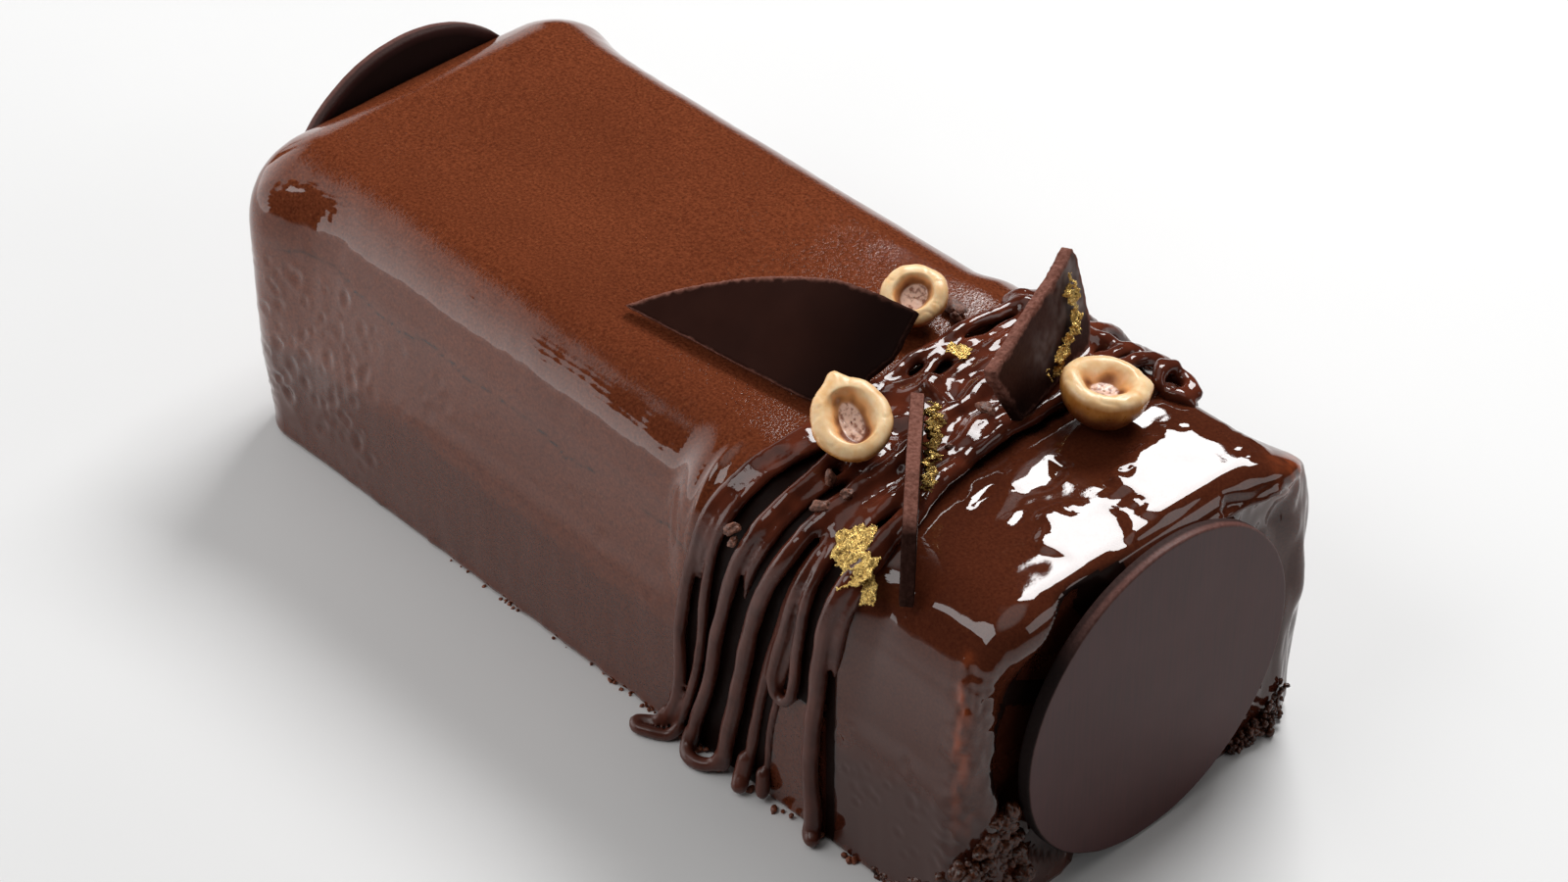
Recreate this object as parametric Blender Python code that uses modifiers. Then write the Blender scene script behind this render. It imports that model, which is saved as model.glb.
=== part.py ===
"""A yule log cake: a glazed cake with a chocolate disc on each end, piped ganache strands laid to and
fro across it, three broken chocolate shards and three cut hazelnuts.

Run with: blender --background --python part.py

Metres, +Z up. The origin is on the surface that the cake stands on, under the middle of the cake.
The log lies along X, its front end at +X. Near means the long side at -Y, far the one at +Y.
"""

import math

import bmesh
import bpy
from mathutils import Matrix, Vector

MM = 0.001

# The gap kept between pieces that touch.
GAP = 0.3 * MM

# The cake.
CAKE_LENGTH = 202.0 * MM
CAKE_WIDTH = 88.3 * MM
CAKE_HEIGHT = 65.5 * MM
SHOULDER_RADIUS = 16.2 * MM
FRONT_EDGE_RADIUS = 6.0 * MM
BACK_EDGE_RADIUS = 9.5 * MM
FOOT_CHAMFER = 1.2 * MM

# The chocolate discs on the two ends.
DISC_RADIUS = 33.0 * MM
DISC_THICKNESS = 2.8 * MM
DISC_EDGE_RADIUS = 0.4 * MM
DISC_SIDES = 64
FRONT_DISC_CENTRE = (0.0, DISC_RADIUS + 0.4 * MM)
BACK_DISC_CENTRE = (1.0 * MM, 37.5 * MM)

# The ganache strands, which two ropes form by going to and fro over the cake.
STRAND_RADIUS = 1.6 * MM
STRAND_LIFT = STRAND_RADIUS + 0.4 * MM
FOOT_BEND = 3.0 * MM
ROPE_A_STRANDS = (0, 1, 2, 3)
ROPE_B_STRANDS = (4, 5, 6)
HANGING_TURN_HEIGHT = 27.5 * MM
STRAND_SWAY = 0.6 * MM
STRAND_SWAY_LENGTH = 38.0 * MM
# Where each strand lies along X, in mm: at its foot, half way up a side, on the shoulder and on top.
STRAND_X = (
    (25.5, 29.6, 36.5, 37.5),
    (29.5, 34.6, 40.8, 42.0),
    (33.5, 39.2, 47.0, 46.5),
    (41.0, 46.0, 55.0, 51.0),
    (51.5, 53.5, 59.4, 55.5),
    (56.5, 58.3, 63.4, 60.0),
    (64.3, 64.3, 68.6, 64.5),
)
# The shares of the run up one side at which it has those places.
STRAND_X_SHARES = (0.0, 0.38, 0.78, 1.2)

# The shards of chocolate.
FAN_THICKNESS = 1.8 * MM
FAN_PLACE = Vector((-9.8, -22.8, 66.6)) * MM
FAN_HEADING = math.radians(6.3)
FAN_LEAN = math.radians(50.0)
FAN_ARC_CENTRE = (64.2 * MM, -65.2 * MM)
BLADE_THICKNESS = 2.6 * MM
BLADE_PLACE = Vector((53.9, -11.1, CAKE_HEIGHT / MM)) * MM
BLADE_HEADING = math.radians(-47.0)
BLADE_FOOT = (28.3 * MM, 39.4 * MM)
SPIKE_THICKNESS = 2.4 * MM
SPIKE_PLACE = Vector((65.2, 1.9, 70.9)) * MM
SPIKE_HEADING = math.radians(105.5)
SPIKE_LEAN = math.radians(14.0)

# The cut hazelnuts: half width, stretch of the long way, depth below the cut, centre of the cut, the
# heading that the cut faces, its tilt from level, its turn in its own plane, and how far its tip
# stands out. In mm and degrees.
NUTS = {
    "hazelnut_a": (7.7, 1.14, 6.2, (50.9, -24.2, 77.5), -48.0, 40.0, 24.0, 1.5),
    "hazelnut_b": (6.6, 1.04, 6.2, (29.4, 12.8, 72.5), -75.0, 24.0, 0.0, 0.0),
    "hazelnut_c": (8.5, 1.0, 9.2, (72.7, 17.0, 75.3), -43.0, -6.0, 0.0, 0.0),
}
NUT_SIDES = 24
NUT_HOLLOW_WIDTH = 0.40
NUT_HOLLOW_DEPTH = 0.40
TIP_SPREAD = math.radians(26.0)

# Colours (linear), roughness.
FINISHES = {
    "glaze": ((0.090, 0.026, 0.014), 0.30),
    "dark_chocolate": ((0.034, 0.018, 0.014), 0.42),
    "ganache": ((0.030, 0.012, 0.009), 0.28),
    "hazelnut": ((0.62, 0.33, 0.13), 0.50),
}


def clear_scene():
    for item in list(bpy.data.objects):
        bpy.data.objects.remove(item, do_unlink=True)


def make_material(name):
    colour, roughness = FINISHES[name]
    material = bpy.data.materials.new(name)
    material.use_nodes = True
    shader = material.node_tree.nodes["Principled BSDF"]
    shader.inputs["Base Color"].default_value = (*colour, 1.0)
    shader.inputs["Roughness"].default_value = roughness
    shader.inputs["Metallic"].default_value = 0.0
    return material


def add_object(name, data, finish, smooth_angle=None):
    """Put mesh or curve data in the cake's collection, in a material of its own."""
    item = bpy.data.objects.new(name, data)
    cake_collection.objects.link(item)
    material = make_material(finish)
    material.name = name
    data.materials.append(material)
    if smooth_angle is not None:
        data.shade_smooth()
        data.set_sharp_from_angle(angle=smooth_angle)
    return item


def along(edge, value, axis):
    """Whether both ends of an edge lie at one value of an axis."""
    return all(abs(vertex.co[axis] - value) < 0.01 * MM for vertex in edge.verts)


def round_edges(bm, edges, radius, segments):
    bmesh.ops.bevel(
        bm,
        geom=edges,
        offset=radius,
        segments=segments,
        profile=0.5,
        affect="EDGES",
        clamp_overlap=False,
    )


def make_cake():
    """One solid block with broad shoulders along its top and softer rounding round both ends."""
    bm = bmesh.new()
    size = Matrix.Diagonal((CAKE_LENGTH, CAKE_WIDTH, CAKE_HEIGHT, 1.0))
    lift = Matrix.Translation((0.0, 0.0, CAKE_HEIGHT / 2))
    bmesh.ops.create_cube(bm, size=1.0, matrix=lift @ size)
    shoulders = []
    for edge in bm.edges:
        on_top = along(edge, CAKE_HEIGHT, 2)
        lengthwise = along(edge, CAKE_WIDTH / 2, 1) or along(edge, -CAKE_WIDTH / 2, 1)
        if on_top and lengthwise:
            shoulders.append(edge)
    round_edges(bm, shoulders, SHOULDER_RADIUS, 8)
    for end, radius in ((CAKE_LENGTH / 2, FRONT_EDGE_RADIUS), (-CAKE_LENGTH / 2, BACK_EDGE_RADIUS)):
        rim = [edge for edge in bm.edges if along(edge, end, 0) and not along(edge, 0.0, 2)]
        round_edges(bm, rim, radius, 4)
    base = [edge for edge in bm.edges if along(edge, 0.0, 2)]
    round_edges(bm, base, FOOT_CHAMFER, 1)
    mesh = bpy.data.meshes.new("cake")
    bm.to_mesh(mesh)
    bm.free()
    add_object("cake", mesh, "glaze", math.radians(30))


def make_disc(name, face_x, centre):
    """A flat round plate of chocolate across one end, its outline slightly eased."""
    bm = bmesh.new()
    y, z = centre
    upright = Matrix.Rotation(math.pi / 2, 4, "Y")
    bmesh.ops.create_cone(
        bm,
        cap_ends=True,
        segments=DISC_SIDES,
        radius1=DISC_RADIUS,
        radius2=DISC_RADIUS,
        depth=DISC_THICKNESS,
        matrix=upright,
    )
    rims = [edge for edge in bm.edges if abs(edge.verts[0].co.x - edge.verts[1].co.x) < 0.01 * MM]
    round_edges(bm, rims, DISC_EDGE_RADIUS, 1)
    mesh = bpy.data.meshes.new(name)
    bm.to_mesh(mesh)
    bm.free()
    disc = add_object(name, mesh, "dark_chocolate", math.radians(30))
    disc.location = (face_x, y, z)


# The strands' route over one half of the cake, seen along X: a short bend off the surface, up the
# side, round the shoulder and in over the top.
WALL_Y = CAKE_WIDTH / 2 + STRAND_LIFT
CROWN_Z = CAKE_HEIGHT + STRAND_LIFT
FLOOR_Z = STRAND_RADIUS + GAP
FOOT_RUN = FOOT_BEND * math.pi / 2
WALL_RUN = CAKE_HEIGHT - SHOULDER_RADIUS - FLOOR_Z - FOOT_BEND
SHOULDER_BEND = SHOULDER_RADIUS + STRAND_LIFT
SHOULDER_RUN = SHOULDER_BEND * math.pi / 2
SIDE_RUN = FOOT_RUN + WALL_RUN + SHOULDER_RUN
SHOULDER_STEPS = 4
TURN_STEPS = 6
TURN_CLEARANCE = 4.0 * MM
TOP_STATIONS = (18.0 * MM, 6.0 * MM, -6.0 * MM, -18.0 * MM)


def route_point(run, side):
    """The (y, z) of the route at a run from the foot; side is -1 near and 1 far."""
    if run < FOOT_RUN:
        angle = run / FOOT_BEND
        y = WALL_Y + FOOT_BEND - FOOT_BEND * math.sin(angle)
        z = FLOOR_Z + FOOT_BEND - FOOT_BEND * math.cos(angle)
    elif run < FOOT_RUN + WALL_RUN:
        y = WALL_Y
        z = FLOOR_Z + FOOT_BEND + run - FOOT_RUN
    else:
        angle = (run - FOOT_RUN - WALL_RUN) / SHOULDER_BEND
        # Chords of the bend touch it from outside, so that they stay clear of the shoulder.
        bend = SHOULDER_BEND / math.cos(math.pi / 4 / SHOULDER_STEPS)
        y = CAKE_WIDTH / 2 - SHOULDER_RADIUS + bend * math.cos(angle)
        z = CAKE_HEIGHT - SHOULDER_RADIUS + bend * math.sin(angle)
    return side * y, z


def strand_x(index, run):
    """Where a strand lies along X at a run from its foot, between its four stated places."""
    share = run / SIDE_RUN
    places = STRAND_X[index]
    for step in range(3):
        low, high = STRAND_X_SHARES[step : step + 2]
        if share <= high:
            part = (share - low) / (high - low)
            return (places[step] + (places[step + 1] - places[step]) * part) * MM
    return places[-1] * MM


def side_runs(low):
    """Stations up one side, from just above a U-turn to the edge of the flat top."""
    runs = [FOOT_RUN, FOOT_RUN + WALL_RUN * 0.33, FOOT_RUN + WALL_RUN * 0.67]
    for step in range(SHOULDER_STEPS):
        runs.append(FOOT_RUN + WALL_RUN + SHOULDER_RUN * (step + 0.5) / SHOULDER_STEPS)
    return [run for run in runs if run > low + TURN_CLEARANCE]


def strand_point(index, run, side):
    y, z = route_point(run, side)
    return Vector((strand_x(index, run), y, z))


def top_points(index, side):
    """Stations across the flat top, from one side to the other, swaying a little."""
    points = []
    for station in TOP_STATIONS:
        y = station * side
        run = SIDE_RUN + CAKE_WIDTH / 2 - SHOULDER_RADIUS - abs(y)
        sway = STRAND_SWAY * math.sin(2 * math.pi * y / STRAND_SWAY_LENGTH)
        points.append(Vector((strand_x(index, run) - sway, y, CROWN_Z)))
    return points


def turn_points(index, side, low):
    """A U-turn at the bottom of one side, from one strand to the next."""
    radius = (strand_x(index + 1, low) - strand_x(index, low)) / 2
    middle = strand_x(index, low) + radius
    points = []
    for step in range(TURN_STEPS + 1):
        angle = math.pi * step / TURN_STEPS
        y, z = route_point(low + radius - radius * math.sin(angle), side)
        points.append(Vector((middle - radius * math.cos(angle), y, z)))
    return points


def strand_path(strands, hanging):
    """The centre line of a rope that starts at the far foot and goes to and fro over the cake.
    Its first turn is at a run of hanging, and the others are at the foot."""
    side = 1
    low = 0.0
    path = [strand_point(strands[0], low, side)]
    for index in strands:
        path += [strand_point(index, run, side) for run in side_runs(low)]
        path += top_points(index, side)
        side = -side
        low = hanging if index == strands[0] else 0.0
        path += [strand_point(index, run, side) for run in reversed(side_runs(low))]
        if index != strands[-1]:
            path += turn_points(index, side, low)
    path.append(strand_point(strands[-1], 0.0, side))
    return path


def make_rope(name, strands, hanging):
    curve = bpy.data.curves.new(name, "CURVE")
    curve.dimensions = "3D"
    curve.bevel_depth = STRAND_RADIUS
    curve.bevel_resolution = 2
    curve.use_fill_caps = True
    path = strand_path(strands, hanging)
    spline = curve.splines.new("POLY")
    spline.points.add(len(path) - 1)
    for point, place in zip(spline.points, path):
        point.co = (*place, 1.0)
    add_object(name, curve, "ganache")


def make_plate(name, outline, thickness, place, heading, lean):
    """A flat plate of chocolate. Its outline is (along, up); it stands on a heading in the XY plane
    and leans back from vertical, to the left of that heading."""
    curve = bpy.data.curves.new(name, "CURVE")
    curve.dimensions = "2D"
    curve.fill_mode = "BOTH"
    curve.extrude = thickness / 2
    spline = curve.splines.new("POLY")
    spline.points.add(len(outline) - 1)
    spline.use_cyclic_u = True
    for point, (u, v) in zip(spline.points, outline):
        point.co = (u, v, 0.0, 1.0)
    plate = add_object(name, curve, "dark_chocolate")
    stand = Matrix.Rotation(math.pi / 2 - lean, 4, "X")
    plate.matrix_world = Matrix.Translation(place) @ Matrix.Rotation(heading, 4, "Z") @ stand


def in_mm(*pairs):
    return [(u * MM, v * MM) for u, v in pairs]


def make_fan():
    """A long shard with one bowed edge, leaning back over the cake behind the strands."""
    radius = math.hypot(*FAN_ARC_CENTRE)
    start = math.atan2(-FAN_ARC_CENTRE[1], -FAN_ARC_CENTRE[0])
    sweep = math.radians(-27.0)
    outline = []
    for step in range(11):
        angle = start + sweep * step / 10
        u = FAN_ARC_CENTRE[0] + radius * math.cos(angle)
        v = FAN_ARC_CENTRE[1] + radius * math.sin(angle)
        outline.append((u, v))
    outline += in_mm((41.0, 22.6), (45.0, 23.0), (54.1, 23.3), (54.6, 14.0))
    outline += in_mm((52.0, 8.5), (43.0, 8.2), (42.0, 0.2))
    make_plate("shard_fan", outline, FAN_THICKNESS, FAN_PLACE, FAN_HEADING, FAN_LEAN)


def cake_top(y):
    """The height of the cake's upper surface at a distance y from its middle plane."""
    past = max(0.0, abs(y) - (CAKE_WIDTH / 2 - SHOULDER_RADIUS))
    return CAKE_HEIGHT - SHOULDER_RADIUS + math.sqrt(SHOULDER_RADIUS**2 - past**2)


def make_blade():
    """A shard on edge across the strands, its low end following the cake's shoulder."""
    outline = in_mm((0.0, 4.1), (26.9, 4.1))
    inner_face = BLADE_THICKNESS / 2 * math.cos(BLADE_HEADING)
    for step in range(5):
        u = BLADE_FOOT[0] + (BLADE_FOOT[1] - BLADE_FOOT[0]) * step / 4
        y = BLADE_PLACE.y + u * math.sin(BLADE_HEADING) + inner_face
        outline.append((u, cake_top(y) + GAP - CAKE_HEIGHT))
    outline += in_mm((39.2, -2.0), (33.3, 7.6), (21.6, 11.6), (0.0, 11.6))
    make_plate("shard_blade", outline, BLADE_THICKNESS, BLADE_PLACE, BLADE_HEADING, 0.0)


def make_spike():
    """A tall pointed shard that stands on the strands."""
    outline = in_mm((0.0, -1.1), (25.1, -1.1), (27.2, 2.6), (27.2, 9.2), (27.0, 16.6), (25.9, 19.4))
    outline += in_mm((18.4, 17.2), (9.5, 15.6), (1.4, 13.8), (-5.3, 12.7), (-5.4, 10.8))
    make_plate("shard_spike", outline, SPIKE_THICKNESS, SPIKE_PLACE, SPIKE_HEADING, SPIKE_LEAN)


def nut_profile(radius, depth):
    """Half the section of a cut hazelnut: up out of the hollow, over the rim and down the outside."""
    hollow = radius * NUT_HOLLOW_WIDTH
    profile = []
    for step in range(4):
        angle = math.radians(25.0 * step)
        lowness = 0.12 + (NUT_HOLLOW_DEPTH - 0.12) * math.cos(angle)
        profile.append((hollow * math.sin(angle), -radius * lowness))
    profile.append((radius * 0.58, -radius * 0.05))
    profile.append((radius * 0.78, 0.0))
    profile.append((radius * 0.93, -radius * 0.03))
    for step in range(7):
        angle = math.radians(8.0 + 82.0 * step / 6)
        profile.append((radius * math.cos(angle) ** 1.1, -depth * math.sin(angle)))
    profile[-1] = (0.0, -depth)
    return profile


def turned_mesh(name, profile, sides):
    """Turn a profile about Z with a Screw modifier and return the finished mesh."""
    mesh = bpy.data.meshes.new(name + "_profile")
    points = [(r, 0.0, z) for r, z in profile]
    mesh.from_pydata(points, [(i, i + 1) for i in range(len(points) - 1)], [])
    guide = bpy.data.objects.new(name + "_profile", mesh)
    cake_collection.objects.link(guide)
    screw = guide.modifiers.new("turn", "SCREW")
    screw.angle = 2 * math.pi
    screw.steps = sides
    screw.render_steps = sides
    screw.use_merge_vertices = True
    screw.merge_threshold = 0.01 * MM
    graph = bpy.context.evaluated_depsgraph_get()
    turned = bpy.data.meshes.new_from_object(guide.evaluated_get(graph))
    turned.name = name
    bpy.data.objects.remove(guide, do_unlink=True)
    return turned


def make_nut(name):
    radius, stretch, depth, place, heading, tilt, turn, tip = NUTS[name]
    mesh = turned_mesh(name, nut_profile(radius * MM, depth * MM), NUT_SIDES)
    for vertex in mesh.vertices:
        x, y, z = vertex.co
        reach = math.hypot(x, y) / (radius * MM)
        off_tip = math.atan2(x, y) / TIP_SPREAD
        vertex.co = (x, y * stretch + tip * MM * reach * math.exp(-(off_tip**2)), z)
    nut = add_object(name, mesh, "hazelnut", math.radians(50))
    spun = Matrix.Rotation(math.radians(turn), 4, "Z")
    tipped = Matrix.Rotation(math.radians(tilt), 4, "X")
    headed = Matrix.Rotation(math.radians(heading + 90.0), 4, "Z")
    nut.matrix_world = Matrix.Translation(Vector(place) * MM) @ headed @ tipped @ spun


clear_scene()
cake_collection = bpy.data.collections.new("yule_log_cake")
bpy.context.scene.collection.children.link(cake_collection)

make_cake()
disc_x = CAKE_LENGTH / 2 + GAP + DISC_THICKNESS / 2
make_disc("disc_front", disc_x, FRONT_DISC_CENTRE)
make_disc("disc_back", -disc_x, BACK_DISC_CENTRE)
hanging_run = FOOT_RUN + HANGING_TURN_HEIGHT - FLOOR_Z - FOOT_BEND
make_rope("ganache_rope_a", ROPE_A_STRANDS, 0.0)
make_rope("ganache_rope_b", ROPE_B_STRANDS, hanging_run)
make_fan()
make_blade()
make_spike()
for nut_name in NUTS:
    make_nut(nut_name)
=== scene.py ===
"""The looks of the yule log cake: glaze, ganache, chocolate, hazelnuts, gold leaf and crumbs.

Lengths in this script are in millimetres unless a name says otherwise; points become metres when a
mesh is made. The log lies along X, its front end at +X. Near means its long side at -Y, far +Y.
A run is a distance along the log's outline, from its near foot up the side and over the top.
"""

import math

import bmesh
import bpy
import numpy as np
from mathutils import Matrix, Vector, kdtree, noise


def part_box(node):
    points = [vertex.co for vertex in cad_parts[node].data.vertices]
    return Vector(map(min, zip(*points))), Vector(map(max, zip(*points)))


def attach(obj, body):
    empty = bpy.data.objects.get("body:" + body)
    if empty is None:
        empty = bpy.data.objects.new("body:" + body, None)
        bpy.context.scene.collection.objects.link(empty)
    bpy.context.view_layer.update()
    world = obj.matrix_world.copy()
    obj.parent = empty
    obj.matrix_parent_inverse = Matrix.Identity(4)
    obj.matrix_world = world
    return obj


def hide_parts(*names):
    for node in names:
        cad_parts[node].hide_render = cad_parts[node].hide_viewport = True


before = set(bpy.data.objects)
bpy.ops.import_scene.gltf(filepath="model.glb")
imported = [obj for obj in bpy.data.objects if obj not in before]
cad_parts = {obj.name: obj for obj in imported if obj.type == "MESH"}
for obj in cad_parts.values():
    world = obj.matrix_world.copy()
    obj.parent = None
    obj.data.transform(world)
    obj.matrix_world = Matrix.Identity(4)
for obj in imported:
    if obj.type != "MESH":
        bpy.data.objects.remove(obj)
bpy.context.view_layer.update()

MM = 0.001
BODY = "root"


def box_mm(node):
    """The lowest and highest corner of a CAD node in mm."""
    return [np.array(corner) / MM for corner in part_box(node)]


# The log's size, from its packed box, and the rounding of its edges.
CAKE_LOW, CAKE_HIGH = box_mm("cake")
LENGTH, WIDTH, HEIGHT = CAKE_HIGH - CAKE_LOW
HALF_LENGTH = LENGTH / 2
HALF_WIDTH = WIDTH / 2
SHOULDER = 16.2
FRONT_ROUNDING = 6.0
BACK_ROUNDING = 9.5
FOOT_ROUNDING = 1.0
# The sides' lean, as a slope, and the run where it starts.
LEAN = 0.115
LEAN_START = 27.0
# The lengths of the outline's parts: a wall, the bend of a shoulder, and the flat crown on top.
WALL = HEIGHT - SHOULDER
BEND = SHOULDER * math.pi / 2
CROWN = WIDTH - 2 * SHOULDER
FULL_RUN = 2 * WALL + 2 * BEND + CROWN


# ---------------------------------------------------------------- numbers


def smooth(values, low, high):
    """0 below low, 1 above high and an S-curve between them; low may be the larger one."""
    share = np.clip((np.asarray(values, float) - low) / (high - low), 0.0, 1.0)
    return share * share * (3.0 - 2.0 * share)


def bump(values, centre, width):
    """A round hump of height 1."""
    return np.exp(-(((values - centre) / width) ** 2))


def ripples(points, grain, seed, octaves=1):
    """Noise of about -1 to 1 at each point. The grain is its size in mm, the same or one for each axis."""
    total = np.zeros(len(points))
    places = np.asarray(points) / np.asarray(grain, float) + 13.37 * seed
    for octave in range(octaves):
        scaled = (places * 2.0**octave + 5.1 * octave).tolist()
        total += np.array([noise.noise(place) for place in scaled]) / 2.0**octave
    return total


def unit(vectors):
    """Vectors of the same directions and of length 1."""
    lengths = np.linalg.norm(vectors, axis=-1, keepdims=True)
    return vectors / np.maximum(lengths, 1e-9)


def distances(path):
    """How far along a path each of its points lies, from 0 at the first."""
    steps = np.linalg.norm(np.diff(path, axis=0), axis=1)
    return np.concatenate([[0.0], np.cumsum(steps)])


def through(stations, values, places):
    """A smooth curve through values at stations, read at places."""
    stations = np.asarray(stations, float)
    values = np.asarray(values, float)
    slopes = np.gradient(values, stations, axis=0)
    index = np.clip(np.searchsorted(stations, places) - 1, 0, len(stations) - 2)
    width = stations[index + 1] - stations[index]
    part = np.clip((places - stations[index]) / width, 0.0, 1.0)
    if values.ndim > 1:
        width = width[:, None]
        part = part[:, None]
    start = (1 + 2 * part) * (1 - part) ** 2
    end = part * part * (3 - 2 * part)
    start_slope = part * (1 - part) ** 2 * width
    end_slope = part * part * (part - 1) * width
    curve = start * values[index] + end * values[index + 1]
    return curve + start_slope * slopes[index] + end_slope * slopes[index + 1]


# ---------------------------------------------------------------- meshes


def put(name, data):
    """A new object in the scene, made of its mesh, light or camera."""
    item = bpy.data.objects.new(name, data)
    bpy.context.scene.collection.objects.link(item)
    return item


def add_piece(name, points, faces, material, slot, stands_for=(), marks=None, crease=None):
    """Make a piece of the cake that rides on its body, in place of the CAD nodes it stands for.

    Marks are numbers kept at its points, for its material. A crease is the angle in degrees from
    which an edge between two faces looks sharp.
    """
    mesh = bpy.data.meshes.new(name)
    mesh.from_pydata((np.asarray(points) * MM).tolist(), [], [list(face) for face in faces])
    for mark, values in (marks or {}).items():
        layer = mesh.attributes.new(mark, "FLOAT", "POINT")
        layer.data.foreach_set("value", np.asarray(values, np.float32))
    mesh.materials.append(material)
    mesh.shade_smooth()
    if crease is not None:
        mesh.set_sharp_from_angle(angle=math.radians(crease))
    piece = put(name, mesh)
    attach(piece, BODY)
    if stands_for:
        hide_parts(*stands_for)
    return piece


def face_normals(points, faces):
    """The outward normal at each point of a mesh of quads."""
    corners = points[faces]
    crosses = np.cross(corners[:, 2] - corners[:, 0], corners[:, 3] - corners[:, 1])
    total = np.zeros_like(points)
    for axis in range(3):
        for corner in range(4):
            total[:, axis] += np.bincount(faces[:, corner], crosses[:, axis], len(points))
    return unit(total)


def relax(points, faces, times, share=0.5):
    """Draw each point towards the middle of its neighbours."""
    starts = faces.ravel()
    ends = np.roll(faces, -1, axis=1).ravel()
    count = np.bincount(starts, minlength=len(points)) + np.bincount(ends, minlength=len(points))
    for _ in range(times):
        middle = np.empty_like(points)
        for axis in range(3):
            forward = np.bincount(starts, points[ends, axis], len(points))
            backward = np.bincount(ends, points[starts, axis], len(points))
            middle[:, axis] = (forward + backward) / count
        points = points + share * (middle - points)
    return points


def joined(solids):
    """Several sets of points and faces as one."""
    points = []
    faces = []
    for solid_points, solid_faces in solids:
        first = len(points)
        points.extend(np.asarray(solid_points).tolist())
        faces.extend([[first + int(corner) for corner in face] for face in solid_faces])
    return points, faces


def fuse(solids, voxel):
    """Join closed solids, each (points, faces), into one skin of small even quads."""
    mesh = bpy.data.meshes.new("fuse")
    points, faces = joined(solids)
    mesh.from_pydata(points, [], faces)
    item = put("fuse", mesh)
    skin = item.modifiers.new("skin", "REMESH")
    skin.mode = "VOXEL"
    skin.voxel_size = voxel
    graph = bpy.context.evaluated_depsgraph_get()
    fused = bpy.data.meshes.new_from_object(item.evaluated_get(graph))
    new_points = np.empty(len(fused.vertices) * 3)
    fused.vertices.foreach_get("co", new_points)
    new_faces = np.empty(len(fused.loops), np.int64)
    fused.loops.foreach_get("vertex_index", new_faces)
    bpy.data.objects.remove(item, do_unlink=True)
    bpy.data.meshes.remove(mesh)
    bpy.data.meshes.remove(fused)
    return new_points.reshape(-1, 3), new_faces.reshape(-1, 4)


def ring_faces(rings, sides):
    """Quads between rings of points that each run all the way round."""
    faces = []
    for ring in range(rings - 1):
        for side in range(sides):
            beside = (side + 1) % sides
            faces.append((ring * sides + side, (ring + 1) * sides + side,
                          (ring + 1) * sides + beside, ring * sides + beside))
    return faces


def turned(section, sides):
    """Rings of points round the Z axis from a section's (reach, level) pairs, and their angles."""
    angles = 2 * math.pi * np.arange(sides) / sides
    rings = [np.column_stack([reach * np.cos(angles), reach * np.sin(angles), np.full(sides, level)])
             for reach, level in section]
    return np.concatenate(rings), angles


def close_ends(points, faces, sides):
    """Close a skin of rings with fans of triangles round two new points, the middles of its ends."""
    first_pole = len(points)
    last = first_pole - sides
    faces = [tuple(face) for face in faces]
    faces += [(side, (side + 1) % sides, first_pole) for side in range(sides)]
    faces += [(last + (side + 1) % sides, last + side, first_pole + 1) for side in range(sides)]
    return np.vstack([points, points[:sides].mean(0), points[last:].mean(0)]), faces


def nearest(places, points):
    """For each point, the number of the nearest of the places, and how far away that one is."""
    tree = kdtree.KDTree(len(places))
    for number, place in enumerate(places.tolist()):
        tree.insert(place, number)
    tree.balance()
    found = [tree.find(point) for point in points.tolist()]
    return np.array([number for _, number, _ in found]), np.array([gap for _, _, gap in found])


TUBE_SIDES = 12


def tube(path, radii, taper):
    """A closed tube with round ends along a path. It thins over the two lengths of its taper."""
    path = np.asarray(path, float)
    radii = np.broadcast_to(np.asarray(radii, float), len(path)).copy()
    lengths = distances(path)
    for reach, gone in ((taper[0], lengths), (taper[1], lengths[-1] - lengths)):
        if reach:
            radii *= 0.12 + 0.88 * smooth(gone, 0.0, reach)
    tangents = unit(np.gradient(path, axis=0))
    ends = np.radians([75.0, 50.0, 25.0])
    head = [(path[0] - tangents[0] * radii[0] * math.sin(a), radii[0] * math.cos(a)) for a in ends]
    tail = [(path[-1] + tangents[-1] * radii[-1] * math.sin(a), radii[-1] * math.cos(a)) for a in ends]
    centres = [spot for spot, _ in head] + list(path) + [spot for spot, _ in reversed(tail)]
    sizes = [size for _, size in head] + list(radii) + [size for _, size in reversed(tail)]
    directions = [tangents[0]] * len(ends) + list(tangents) + [tangents[-1]] * len(ends)
    across = np.cross(directions[0], [0.31, 0.17, 0.93])
    points = []
    for centre, size, direction in zip(centres, sizes, directions):
        across = unit(across - direction * np.dot(across, direction))
        along = np.cross(direction, across)
        for side in range(TUBE_SIDES):
            angle = 2 * math.pi * side / TUBE_SIDES
            points.append(centre + size * (math.cos(angle) * across + math.sin(angle) * along))
    faces = [face[::-1] for face in ring_faces(len(centres), TUBE_SIDES)]
    last = (len(centres) - 1) * TUBE_SIDES
    faces.append([last + side for side in range(TUBE_SIDES)])
    faces.append([side for side in reversed(range(TUBE_SIDES))])
    return points, faces


def ball_shape(detail):
    """The points and triangles of a small ball of radius 1."""
    bm = bmesh.new()
    bmesh.ops.create_icosphere(bm, subdivisions=detail, radius=1.0)
    points = np.array([vertex.co for vertex in bm.verts])
    faces = np.array([[vertex.index for vertex in face.verts] for face in bm.faces])
    bm.free()
    return points, faces


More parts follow.
